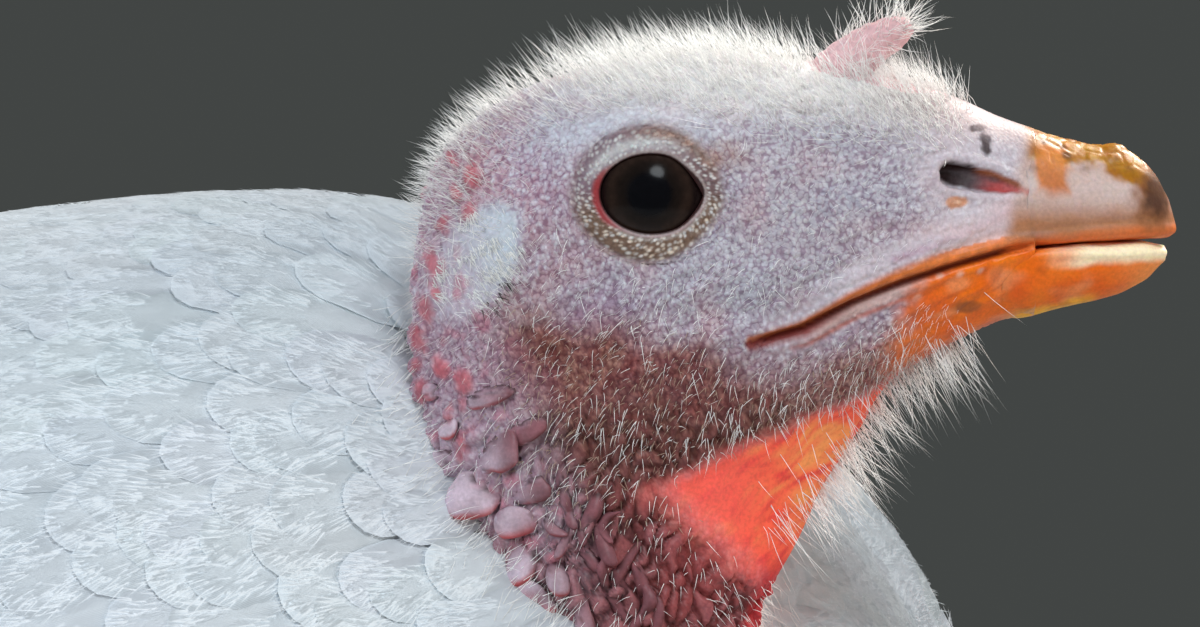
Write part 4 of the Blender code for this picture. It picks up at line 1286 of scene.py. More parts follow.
def lobe_meshes():
    """The lobes, in a few meshes inside which none touches another."""
    groups = []
    faces, caps = lobe_faces()
    for x, sign, z, half_down, half_across, stand, lean, bow in lobe_seeds():
        hit, normal, _, _ = face_tree.ray_cast(Vector((x, sign * 40, z)), Vector((0, -sign, 0)))
        if hit is None:
            continue
        if head_regions(np.array([hit])).throat[0] > 0.04:
            continue
        normal = unit(np.array(normal) + np.array((-0.25, 0, 0)))
        down = np.array((0.30 + lean, 0.0, -1.0)) + rng.normal(0, 0.12, 3)
        down = unit(down - normal * (down @ normal))
        points = lobe_points(np.array(hit), normal, down, half_down, half_across, stand, bow)
        low, high = points.min(axis=0) - 0.05, points.max(axis=0) + 0.05
        for group in groups:
            if all((low > g[2]).any() or (high < g[1]).any() for g in group):
                group.append((points, low, high))
                break
        else:
            groups.append([(points, low, high)])
    meshes = []
    for group in groups:
        step = len(group[0][0])
        shift = (np.arange(len(group)) * step)[:, None, None]
        every = np.concatenate([g[0] for g in group])
        meshes.append(outward(mesh_from("lobes", every, (faces[None] + shift).reshape(-1, 4),
                                        (caps[None] + shift).reshape(-1, 3))))
    return meshes


def near_lobe(p):
    """How high a point stands above the plain neck, in mm, near the neck only."""
    rise = np.zeros(len(p))
    x, y, z = sided(p)
    for i in np.flatnonzero((z < -8) & (z > -76) & (x < 20) & (y < 24) & (x > -36)):
        spot, normal, _, _ = face_tree.find_nearest(Vector(p[i]))
        rise[i] = (Vector(p[i]) - spot).dot(normal)
    return rise


# ---------------------------------------------------------------- joining the skin

def make_skin():
    trunk = moved_mesh(trunk_skin, to_head)
    thighs = []
    for sign in (-1, 1):
        mesh = outward(tube_mesh("thigh_skin", thigh_rings(sign, 60, 64)))
        thighs.append(moved_mesh(mesh, to_head))
    parts = [face_mesh, lid_mesh(1), lid_mesh(-1), snood_mesh(), *lobe_meshes(), trunk, *thighs]
    skin = union(parts, "skin")
    p = points_of(skin)
    colour, rough, pebbly = head_colours(p)
    colour, rough, pebbly = lid_colours(p, colour, rough, pebbly)
    rise = near_lobe(p)
    n = normals_of(skin)
    stands = smooth(0.10, 0.7, rise)
    low_side = smooth(0.10, -0.60, n[:, 2] - 0.2 * n[:, 0])
    inner_neck = smooth(-29.0, -20.0, p[:, 0] + 0.42 * (p[:, 2] + 20) + 2.0 * ripple(p, 5.0, 45))
    face_on = mix((0.53, 0.42, 0.49), (0.225, 0.085, 0.100), inner_neck)
    rim = mix((0.46, 0.060, 0.062), (0.13, 0.026, 0.030), inner_neck)
    rosy = mix(face_on, rim, low_side) * (0.94 + 0.5 * ripple(p, 2.5, 44))[:, None]
    colour = mix(colour, rosy, stands * 0.92)
    pebbly = pebbly * (1 - 0.85 * stands)
    # Painted shade: the skin at the foot of each lobe, where it only just rises from the neck, made nearly
    # black.
    gap = smooth(0.42, 0.05, rise) * (rise > 0.01)
    colour = mix(colour, (0.035, 0.010, 0.012), gap * 0.88)
    snood = smooth(0.5, 1.5, p[:, 2] + 0.5 * (p[:, 0] - 22) - 13.5) * (p[:, 2] > 13) * (p[:, 0] > 20.5)
    colour = mix(colour, (0.70, 0.42, 0.44), snood * (np.abs(p[:, 1]) < 5) * 0.9)
    body = np.maximum(smooth(-34.5, -36.5, p[:, 0]), smooth(-66.0, -73.0, p[:, 2]))
    body = np.maximum(np.maximum(body, smooth(20.0, 22.0, np.abs(p[:, 1]))), smooth(2.9, 3.7, rise))
    colour = mix(colour, WHITE * 0.94, body)
    paint(skin, "tint", colour)
    paint(skin, "rough", rough)
    paint(skin, "pebbly", pebbly)
    set_points(skin, placed(p, HEAD))
    covered = ["head", "neck", "snood", "trunk", "thigh_left", "thigh_right"]
    add_piece("skin", skin, SKIN_FINISH, covered)


trunk_skin = trunk_mesh()
make_skin()
make_eye("left", 1)
make_eye("right", -1)


# ---------------------------------------------------------------- bill

UPPER_BILL = [
    column(45.0, 9.55, -7.5, 8.55, level=0.28, upper=2.0, lower=3.4),
    column(49.5, 8.3, -6.95, 7.8, level=0.27, upper=1.9, lower=3.4),
    column(53.4, 7.05, -6.45, 7.1, level=0.25, upper=1.9, lower=3.4),
    column(60.0, 6.0, -6.1, 5.7, level=0.24, upper=1.9, lower=3.4),
    column(64.4, 3.8, -5.9, 4.0, level=0.25, upper=1.9, lower=3.0),
    column(67.2, -0.4, -5.8, 2.1, level=0.3, upper=1.9),
    column(68.15, -3.5, -5.2, 0.8),
]
LOWER_BILL = [
    column(45.0, -8.0, -16.75, 7.95, level=0.8, upper=3.6),
    column(49.5, -7.15, -16.2, 7.3, level=0.8, upper=3.6),
    column(53.4, -6.6, -15.1, 6.6, level=0.8, upper=3.6),
    column(60.0, -6.3, -13.6, 5.2, level=0.8, upper=3.6),
    column(64.2, -6.45, -11.6, 3.7, level=0.75, upper=3.0),
    column(67.0, -7.0, -8.9, 1.3),
]


def grow_horn(name, table, start, around, relief, relief_start, emerging, seed):
    """One half of the bill: it comes out of the skin along a ragged edge, and then takes its relief."""
    stations = even_stations(table, start, len(table) - 1.0, 0.22)
    mesh = outward(tube_mesh(name + "_horn", rings_of(table, stations, around)))
    p, n = points_of(mesh), normals_of(mesh)
    x = p[:, 0]
    emerge = mix(-0.32, 0.05, smooth(*emerging, x + 0.5 * ripple(p, 1.8, seed)))
    set_points(mesh, p + n * (relief(p) * smooth(0.0, 4.0, x - relief_start) + emerge)[:, None])
    paint(mesh, "tint", horn_colours(p))
    set_points(mesh, placed(points_of(mesh), HEAD))
    add_piece(name + "_horn", mesh, HORN_FINISH, [name])


def upper_relief(p):
    """Scratches, the lip's bead and groove, a bump on the ridge and flaking horn."""
    x, _, z = sided(p)
    lip, _ = along_line(p, UPPER_LIP)
    rise = 0.14 * ripple(p * np.array((0.5, 1, 1)), 1.8, 51) + 0.34 * bell(lip - 1.2, 0.8)
    rise += 0.50 * blob(p, (60.8, 0.0, 6.2), (1.3, 3.0, 1.8))
    rise -= 0.35 * blob(p, (57.5, 0.0, 6.6), (2.0, 3.0, 1.6))
    rise -= 0.30 * bell(lip - 2.7, 0.6) * smooth(66, 60, x)
    near, next_near, mark = cells(p, 1.9, 52)
    return rise + (0.07 * mark - 0.10 * smooth(0.30, 0.05, next_near - near)) * smooth(2.6, 4.2, z)


def lower_relief(p):
    """Scratches, and the raised edge under the lip."""
    _, y, z = sided(p)
    return 0.14 * ripple(p * np.array((0.5, 1, 1)), 1.6, 56) + 0.40 * bell(z + 7.7, 0.6) * smooth(0, 2, y)


grow_horn("upper_bill", UPPER_BILL, 0.68, 200, upper_relief, 48.5, (47.9, 49.6), 75)
grow_horn("lower_bill", LOWER_BILL, 0.0, 180, lower_relief, 46.0, (45.4, 48.6), 76)


# ---------------------------------------------------------------- plumage

VANE_SHARES = np.array((0.0, 0.22, 0.44, 0.63, 0.79, 0.91, 0.975, 1.0))
VANE_ACROSS = np.array((-1.0, 0.0, 1.0, 0.0))  # the left rim, the quill above, the right rim, the quill below
VANE_UP = np.array((0.0, 0.6, 0.0, -0.4))


def vane_width(shares, blunt=0.30):
    """A contour feather's half width along its length, as a share of its largest."""
    opening = np.minimum(1.0, 0.16 + (shares / 0.42) ** 0.85)
    tip = np.clip((shares - (1 - blunt)) / blunt, 0, 1)
    return np.minimum(opening, 1.0) * np.sqrt(np.maximum(1 - tip**2, 0.004))


def bake_map(mesh, spots):
    """The map for baking: each corner takes its point's place."""
    numbers = np.empty(len(mesh.loops), dtype=np.int32)
    mesh.loops.foreach_get("vertex_index", numbers)
    layer = mesh.uv_layers.new(name="OFBake")
    layer.uv.foreach_set("vector", np.asarray(spots, dtype=np.float32)[numbers].ravel())


RIM_ANGLE = math.radians(50)  # a vane's rim is sharper than this
PATCH = 0.003  # each feather's or hair's share of its piece's baking map
BARB_LIFT = 0.00006  # how far over the vane its loose barbs lie, in metres


def in_pieces(name, points, triangles, *face_sets):
    """Meshes of many equal shapes, few enough in each: points by shape, and the faces of one shape."""
    chunk = PIECE_TRIANGLES // triangles
    for number, start in enumerate(range(0, len(points), chunk)):
        part = slice(start, start + chunk)
        shift = (np.arange(len(points[part])) * points.shape[1])[:, None, None]
        sets = [(faces[None] + shift).reshape(-1, faces.shape[1]) for faces in face_sets]
        yield number, part, mesh_from(name, points[part].reshape(-1, 3), *sets)


def plain_base(name, mesh, shade, along, across, spots, nodes=()):
    """A plain white form under the feathers, so that no gap between them shows the skin."""
    paint(mesh, "tint", np.tile(WHITE * shade, (len(along), 1)))
    paint(mesh, "along", along)
    paint(mesh, "across", across)
    bake_map(mesh, spots)
    add_piece(name, mesh, PLUMAGE_FINISH, nodes)


class Coat:
    """Feathers gathered for one stretch of the coat, made into meshes small enough to keep."""

    def __init__(self):
        self.sets = []

    def add(self, centres, normals, sides, widths, thickness, camber, tints, spots):
        """centres, normals, sides: feather by step by 3; widths at each step; in mm in the body's frame."""
        centres, widths = placed(centres, BODY), widths * MM
        feathers, steps = centres.shape[:2]
        across = VANE_ACROSS[None, None, :, None] * widths[..., None, None]
        rise = VANE_UP * (thickness * MM)
        rise = rise * np.clip(widths / widths.max(axis=1, keepdims=True), 0.25, 1)[..., None]
        drop = camber * (VANE_ACROSS**2)[None, None, :] * widths[..., None]
        points = centres[:, :, None] + sides[:, :, None] * across
        points = points + normals[:, :, None] * (rise - drop)[..., None]
        lengths = np.linalg.norm(np.diff(centres, axis=1), axis=2)
        run = np.concatenate([np.zeros((feathers, 1)), np.cumsum(lengths, axis=1)], axis=1)
        around = len(VANE_ACROSS)
        along = np.repeat(run[:, :, None], around, axis=2) / MM
        wide = across[..., 0] / MM + 0 * along
        down = (np.linspace(0, 1, steps)[None, :, None] - 0.5) * PATCH + 0 * along
        patch = np.stack([wide * MM / widths.max() * 0.5 * PATCH, down], axis=-1)
        spots = np.clip(np.asarray(spots), 0.002, 0.998)[:, None, None, :] + patch
        shade = np.repeat(np.repeat(np.asarray(tints)[:, None, None, :], steps, 1), around, 2)
        self.sets.append((points, along, wide, spots, shade))

    def build(self, name):
        number = 0
        around = len(VANE_ACROSS)
        for points, along, wide, spots, shade in self.sets:
            count, steps = points.shape[:2]
            root = np.arange(around)
            ends = np.stack([root, (root + (steps - 1) * around)[::-1]])
            sides = grid_faces(steps, around)[:, ::-1]
            shapes = points.reshape(count, steps * around, 3)
            for _, part, mesh in in_pieces(name, shapes, (steps - 1) * around * 2 + 4, sides, ends):
                mesh.shade_smooth()
                mesh.set_sharp_from_angle(angle=RIM_ANGLE)
                bake_map(mesh, spots[part].reshape(-1, 2))
                paint(mesh, "tint", shade[part].reshape(-1, 3))
                paint(mesh, "along", along[part].ravel())
                paint(mesh, "across", wide[part].ravel())
                add_piece(f"{name}_{number}", mesh, PLUMAGE_FINISH, smooth_shade=False)
                number += 1


def make_fringe(name, centres, normals, sides, widths, tints, spots, rim_barbs, top_barbs, thick):
    """Loose barbs round the tip of each feather and over it; places in metres."""
    count = len(centres)
    rim = np.linspace(-0.95, 0.95, rim_barbs)[None, :] + rng.uniform(-0.05, 0.05, (count, rim_barbs))
    rim = np.concatenate([rim, rng.uniform(-0.8, 0.8, (count, top_barbs))], axis=1)
    share = 0.975 - 0.20 * np.abs(rim) ** 1.6
    share[:, rim_barbs:] *= rng.uniform(0.62, 1.0, (count, top_barbs))
    place = np.interp(share.ravel(), VANE_SHARES, np.arange(len(VANE_SHARES)))
    low = np.clip(place.astype(int), 0, len(VANE_SHARES) - 2)
    part = (place - low)[:, None]
    who = np.repeat(np.arange(count), rim_barbs + top_barbs)
    at = centres[who, low] * (1 - part) + centres[who, low + 1] * part
    wide = widths[who, low] * (1 - part[:, 0]) + widths[who, low + 1] * part[:, 0]
    across = sides[who, low]
    up = normals[who, low]
    ahead = unit(centres[who, low + 1] - centres[who, low])
    s = rim.ravel()[:, None]
    base = at + across * s * wide[:, None] * 0.97 + up * BARB_LIFT
    stray = rng.normal(0, 0.13, (len(s), 1)) * across + rng.uniform(-0.05, 0.03, (len(s), 1)) * up
    way = unit(ahead + across * s * 0.55 + stray)
    length = rng.uniform(0.0020, 0.0050, (len(s), 1))
    base = base - way * length * 0.35
    half = unit(np.cross(up, way)) * thick
    points = np.stack([base - half, base + half, base + up * 0.00008, base + way * length], axis=1)
    faces = np.array(((0, 3, 2), (2, 3, 1), (1, 3, 0), (0, 2, 1)))
    corner = np.array(((-0.5, -0.5), (0.5, -0.5), (0.0, -0.5), (0.0, 0.5))) * PATCH
    spots = np.clip(np.asarray(spots), 0.002, 0.998)[who][:, None] + corner[None]
    shade = np.asarray(tints)[who]
    for number, span, mesh in in_pieces(name, points, 4, faces):
        mesh.shade_smooth()
        mesh.normals_split_custom_set_from_vertices(np.repeat(up[span], 4, axis=0))
        bake_map(mesh, spots[span].reshape(-1, 2))
        paint(mesh, "tint", np.repeat(shade[span], 4, axis=0))
        piece = add_piece(f"{name}_{number}", mesh, PLUMAGE_FINISH, smooth_shade=False)
        piece.visible_shadow = False


class Form:
    """A surface for feathers to lie on, in mm, whose normals turn smoothly across its faces."""

    def __init__(self, mesh):
        self.mesh = mesh
        self.tree = tree_of(mesh)
        self.faces = [tuple(face.vertices) for face in mesh.polygons]
        self.places = [Vector(place) for place in points_of(mesh)]
        self.normals = [Vector(normal) for normal in normals_of(mesh)]

    def nearest(self, place):
        spot, _, face, _ = self.tree.find_nearest(place)
        normal = Vector()
        for k in self.faces[face]:
            normal += self.normals[k] / ((self.places[k] - spot).length_squared + 0.3)
        return spot, normal.normalized()


def lay_along(form, roots, ahead, lengths, lifts, shares):
    """Centre lines that follow a form: roots and lengths in mm, lifts above it at each share."""
    centres = np.empty((len(roots), len(shares), 3))
    normals = np.empty_like(centres)
    sides = np.empty_like(centres)
    for i, (root, course, length) in enumerate(zip(roots, ahead, lengths)):
        spot, normal = form.nearest(Vector(root))
        course = Vector(course)
        passed = 0.0
        for k, share in enumerate(shares):
            step = (share - passed) * length
            passed = share
            course = (course - normal * course.dot(normal)).normalized()
            spot, normal = form.nearest(spot + course * step)
            centres[i, k] = spot + normal * lifts[i, k]
            normals[i, k] = normal
            sides[i, k] = normal.cross(course).normalized()
    return centres, normals, sides


def flatter(normals, sides, centres):
    """Turns each feather's normals square to its own centre line."""
    ahead = unit(np.gradient(centres, axis=1))
    turned = unit(np.cross(ahead, sides) * -1)
    flip = np.sign((turned * normals).sum(axis=2, keepdims=True))
    return turned * np.where(flip == 0, 1, flip)


def squared(normals, centres):
    """Each feather's normals and sides, square to its own centre line."""
    course = unit(np.gradient(centres, axis=1))
    sides = unit(np.cross(normals, course))
    return unit(np.cross(course, sides)), sides


GRID_CELL = 16.0  # in mm, more than any two feathers' roots are kept apart


def scatter(mesh, spacing, tries):
    """Places spread over a mesh so that none is nearer another than spacing says there."""
    p = points_of(mesh)
    mesh.calc_loop_triangles()
    corners = np.empty(len(mesh.loop_triangles) * 3, dtype=np.int32)
    mesh.loop_triangles.foreach_get("vertices", corners)
    a, b, c = p[corners.reshape(-1, 3)].transpose(1, 0, 2)
    area = np.linalg.norm(np.cross(b - a, c - a), axis=1)
    chosen = rng.choice(len(area), tries, p=area / area.sum())
    u, v = rng.random((tries, 1)), rng.random((tries, 1))
    u, v = np.where(u + v > 1, 1 - u, u), np.where(u + v > 1, 1 - v, v)
    spots = a[chosen] + (b[chosen] - a[chosen]) * u + (c[chosen] - a[chosen]) * v
    room = spacing(spots)
    grid = {}
    kept = []
    for i, (spot, near) in enumerate(zip(spots, room)):
        key = tuple((spot // GRID_CELL).astype(int))
        around = product(*[(k - 1, k, k + 1) for k in key])
        close = [j for cell in around for j in grid.get(cell, ())]
        if all(((spots[j] - spot) ** 2).sum() >= near * near for j in close):
            grid.setdefault(key, []).append(i)
            kept.append(i)
    return spots[kept], room[kept]


NECK_FOOT = np.array((141.0, 2.0))  # where the neck rises from the trunk, in the body's frame


def trunk_spacing(p):
    """How far apart the feathers' roots are over the trunk, in mm."""
    near_neck = np.linalg.norm(p - np.array((*NECK_FOOT, 440.0)), axis=1)
    room = np.interp(near_neck, (15, 60, 150, 300, 480), (3.7, 4.8, 6.3, 8.6, 9.0))
    return room * np.interp(p[:, 2], (170, 235), (0.72, 1.0))


VOXEL = 4.0  # mm, the grain of the smooth form under the plumage
COLLAR_HAIRS, TRUNK_TRIES = 3400, 46000  # hairs in the collar, and places tried for the trunk's feathers


def body_form():
    """The trunk, the thighs and the wings as one smooth form, in mm, for the plumage to lie on."""
    parts = [trunk_mesh()]
    for sign in (-1, 1):
        parts.append(outward(tube_mesh("thigh_form", thigh_rings(sign, 40, 48))))
        parts.append(outward(tube_mesh("wing_form", wing_rings(sign, 7.0, 7.0))))
    joined = union(parts, "body_form")
    shape = bpy.data.objects.new("body_form", joined)
    bpy.context.scene.collection.objects.link(shape)
    remesh = shape.modifiers.new("even", "REMESH")
    remesh.mode = "VOXEL"
    remesh.voxel_size = VOXEL
    soften = shape.modifiers.new("soften", "SMOOTH")
    soften.factor = 0.5
    soften.iterations = 14
    bpy.context.view_layer.update()
    made = bpy.data.meshes.new_from_object(shape.evaluated_get(bpy.context.evaluated_depsgraph_get()))
    bpy.data.objects.remove(shape)
    return made


def down_layer():
    """White down under the feathers, so that no gap between them shows the skin."""
    mesh = plumage_form.mesh.copy()
    p, n = points_of(mesh), normals_of(mesh)
    near = np.linalg.norm(p - np.array((*NECK_FOOT, 440.0)), axis=1)
    full_depth = mix(5.7, 4.5, smooth(90, 200, near))
    depth = mix(-2.0, full_depth, smooth(165, 200, p[:, 2]) * smooth(0.0, 4.0, off_neck(p)))
    depth = mix(depth, -1.5, on_wing(p) * smooth(40, -10, p[:, 0]))
    set_points(mesh, placed(p + n * depth[:, None], BODY))
    half = np.where(p[:, 1] > 0, 0.5, 0.0)
    spots = np.column_stack([(p[:, 0] + 300) / 560 * 0.48 + half, (p[:, 2] - 100) / 400])
    plain_base("body_down", mesh, 0.95, p[:, 0], p[:, 1], spots)


def on_wing(points):
    """Whether points in the body's frame lie on a wing, away from its upper and lower edges."""
    along, chord = np.linspace(0.03, 1.0, 40)[:, None], np.linspace(0.13, 0.90, 13)[None, :]
    places = wing_point(along, chord, np.maximum(wing_top(along, chord) - 7.0, 0.0), 1).reshape(-1, 3)
    mirrored = points * np.array((1.0, 0.0, 1.0)) + np.abs(points) * np.array((0.0, 1.0, 0.0))
    nearest = [((places - point) ** 2).sum(axis=1).min() for point in mirrored]
    return np.array(nearest) < 8.0**2


def off_neck(points):
    """How far points in the body's frame lie outside the neck's skin, in mm; 99 where it is far away."""
    away = np.full(len(points), 99.0)
    for i, place in enumerate(to_head(points)):
        if abs(place[0]) < 60 and place[2] > -110:
            spot, normal, _, _ = face_tree.find_nearest(Vector(place))
            gap = Vector(place) - spot
            away[i] = math.copysign(gap.length, gap.dot(normal))
    return away


def collar_down():
    """Short down where the bare neck meets the plumage."""
    p, n = points_of(plumage_form.mesh), normals_of(plumage_form.mesh)
    gap = off_neck(p)
    weights = bell(gap - 2.5, 3.5) * (gap > -2.0) * (gap < 12)
    chosen = rng.choice(len(p), COLLAR_HAIRS, p=weights / weights.sum())
    size = len(chosen)
    roots = p[chosen] + n[chosen] * rng.uniform(3.5, 6.6, (size, 1)) + rng.normal(0, 1.5, (size, 3))
    toward = np.column_stack([NECK_FOOT - roots[:, :2], np.full(size, 14.0)])
    ways = unit(n[chosen] * 0.25 + unit(toward) * 0.75 + rng.normal(0, 0.25, (size, 3)))
    curls = rng.normal(0, 0.10, (size, 3))
    spots = np.column_stack([(roots[:, 0] + 300) / 530, roots[:, 1] / 300 + 0.5])
    make_hairs("collar_down", placed(roots, BODY), ways, rng.uniform(2.4, 5.2, size) * MM, 0.05 * MM, curls,
               WHITE_HAIR, spots)


def trunk_coat():
    coat = Coat()
    roots, room = scatter(plumage_form.mesh, trunk_spacing, TRUNK_TRIES)
    away = roots[:, :2] - NECK_FOOT
    near = np.linalg.norm(away, axis=1)
    pull = bell(near, 62.0) * (roots[:, 2] > 400)
    ahead = np.tile(np.array((-1.0, 0.0, -0.42)), (len(roots), 1))
    outwards = np.column_stack([away / np.maximum(near, 1)[:, None], np.full(len(roots), -0.3)])
    ahead = ahead * (1 - pull)[:, None] + outwards * (pull * 1.5)[:, None]
    front = smooth(150, 200, roots[:, 0])
    ahead[:, 2] -= front * 0.9
    ahead[:, 0] += front * 0.45
    leg = smooth(240, 200, roots[:, 2]) * smooth(36, 56, np.abs(roots[:, 1]))
    leg = leg * smooth(70, 40, np.abs(roots[:, 0]))
    ahead = mix(ahead, np.array((-0.3, 0.0, -1.0)), leg)
    ahead += drift(roots, 34.0, 80) * 0.30 + rng.normal(0, 0.06, ahead.shape)
    lengths = room * rng.uniform(3.9, 4.8, len(roots))
    keep = ~on_wing(roots) & (off_neck(roots) > -6.0) & (roots[:, 2] > 170)
    roots, ahead, lengths, room = roots[keep], ahead[keep], lengths[keep], room[keep]
    tops = 7.2 + 0.3 * ripple(roots, 30.0, 83) + rng.uniform(-0.06, 0.06, len(roots))
    away = np.linalg.norm(roots - np.array((*NECK_FOOT, 440.0)), axis=1)
    starts = mix(6.1, 5.2, smooth(90, 200, away))
    lifts = starts[:, None] + (tops - starts)[:, None] * VANE_SHARES[None, :] ** 1.1
    centres, normals, sides = lay_along(plumage_form, roots, ahead, lengths, lifts, VANE_SHARES)
    normals = flatter(normals, sides, centres)
    widths = vane_width(VANE_SHARES)[None, :] * (room * rng.uniform(1.15, 1.35, len(roots)))[:, None]
    tints = WHITE * rng.uniform(0.97, 1.02, (len(roots), 1)) * (1 + rng.normal(0, 0.006, (len(roots), 3)))
    spots = np.column_stack([np.arctan2(roots[:, 1], roots[:, 2] - 335.0) / (2 * math.pi) + 0.5,
                             (roots[:, 0] + 300) / 530])
    coat.add(centres, normals, sides, widths, 0.26, 0.06, tints, spots)
    coat.build("body_feathers")
    in_view = away < 115
    for part, where, barbs in (("near", in_view, (24, 56, 0.00011)), ("far", ~in_view, (8, 4, 0.00018))):
        make_fringe("body_barbs_" + part, placed(centres[where], BODY), normals[where], sides[where],
                    widths[where] * MM, tints[where], spots[where], *barbs)


def thigh_coat():
    coat = Coat()
    for sign in (-1, 1):
        rings = thigh_rings(sign, 26, 64)
        mesh = outward(tube_mesh("thigh_form", rings))
        form = Form(mesh)
        roots, sizes, spots = [], [], []
        for k in range(8, 24):
            share = k / 25
            ring = rings[k]
            girth = np.linalg.norm(np.roll(ring, -1, axis=0) - ring, axis=1).sum()
            size = 8.5 - 4.5 * share
            count = int(girth / size)
            for j in range(count):
                at = (j + 0.5 * (k % 2) + rng.uniform(-0.2, 0.2)) / count
                roots.append(ring[int(at * 64) % 64])
                sizes.append(size)
                spots.append((at % 1.0, share))
        roots, sizes = np.array(roots), np.array(sizes)
        ahead = np.tile(np.array((-0.25, 0.0, -1.0)), (len(roots), 1)) + rng.normal(0, 0.08, (len(roots), 3))
        share = np.array(spots)[:, 1]
        lengths = sizes * rng.uniform(2.2, 2.8, len(roots)) * np.where(share > 0.8, 0.75, 1.0)
        tops = (5.6 - 4.2 * share) * rng.uniform(0.8, 1.0, len(roots))
        lifts = 0.3 + tops[:, None] * VANE_SHARES[None, :] ** 0.8
        centres, normals, sides = lay_along(form, roots, ahead, lengths, lifts, VANE_SHARES)
        normals = flatter(normals, sides, centres)
        widths = vane_width(VANE_SHARES)[None, :] * (sizes * 0.8)[:, None]
        tints = WHITE * rng.uniform(0.92, 1.03, (len(roots), 1)) + np.zeros(3)
        coat.add(centres, normals, sides, widths, 0.6, 0.3, tints, spots)
    coat.build("thigh_feathers")


# ---------------------------------------------------------------- wings

WING_SHOULDER, WING_TIP = 118.0, -262.0
WING_ROUND, WING_TAPER = 0.22, 0.45
WING_AXIS, WING_ABOVE, WING_BELOW = 58.0, 26.0, 46.0
WING_TIP_ABOVE, WING_TIP_BELOW = 4.0, 40.0
WING_THICKNESS, WING_EDGE = 17.0, 3.0
FINE_STATIONS = np.linspace(0, len(TRUNK_SECTIONS) - 1.0, 1400)
FINE_X = hermite(TRUNK_KNOTS, TRUNK_SECTIONS, FINE_STATIONS)[:, 0]


def wing_point(along, chord, height, sign):
    """Along from the shoulder to the tip, chord from the upper edge to the lower, height over the trunk."""
    along, chord = np.broadcast_arrays(np.asarray(along, float), np.asarray(chord, float))
    x = WING_SHOULDER + (WING_TIP - WING_SHOULDER) * along
    lead = np.sin(math.pi / 2 * np.clip(along / WING_ROUND, 0, 1)) ** 0.8
    fade = np.maximum(0.0, along - WING_TAPER) / (1 - WING_TAPER)
    upper = WING_AXIS - WING_ABOVE * lead - WING_TIP_ABOVE * fade
    lower = WING_AXIS + WING_BELOW * lead - WING_TIP_BELOW * fade**1.6
    stations = np.interp(-x, -FINE_X, FINE_STATIONS)
    values = hermite(TRUNK_KNOTS, TRUNK_SECTIONS, stations.ravel()).reshape(*x.shape, 8)
    point = ring_point(values, np.radians(upper + (lower - upper) * chord), height)
    point[..., 1] = np.abs(point[..., 1]) * sign
    return point


def wing_top(along, chord):
    swell = np.sin(math.pi * np.clip(along, 0, 1) ** 0.62) ** 0.7
    crown = np.sin(math.pi * np.clip(chord, 0, 1)) ** 0.6
    return WING_EDGE + (WING_THICKNESS - WING_EDGE) * np.nan_to_num(swell) * np.nan_to_num(crown)


# Rows of feathers: first and last root along the wing, rows, length and width in mm, chord's ends, depth.
WING_ROWS = [
    ("primary", 0.50, 0.50, 1, 176.0, 15.0, (0.34, 0.95), 4.5, 9),
    ("secondary", 0.40, 0.40, 1, 156.0, 17.0, (0.06, 0.93), 3.2, 15),
    ("great_covert", 0.375, 0.425, 2, 74.0, 12.5, (0.05, 0.96), 2.2, 16),
    ("middle_covert", 0.27, 0.34, 3, 46.0, 10.0, (0.04, 0.97), 1.6, 21),
    ("small_covert", 0.03, 0.25, 9, 28.0, 7.4, (0.03, 0.98), 1.0, 24),
]


def wing_rings(sign, front_depth, rear_depth):
    """The wing's solid form, its outer side so deep below the tops of the feathers."""
    along = np.linspace(0.012, 0.985, 60)[:, None]
    chord = np.linspace(0.01, 0.99, 31)[None, :]
    depth = mix(front_depth, rear_depth, smooth(0.36, 0.52, along))
    outer = wing_point(along, chord, np.maximum(wing_top(along, chord) - depth, 0.6), sign)
    inner = wing_point(along, chord, -7.0, sign)
    return np.concatenate([outer, inner[:, ::-1]], axis=1)


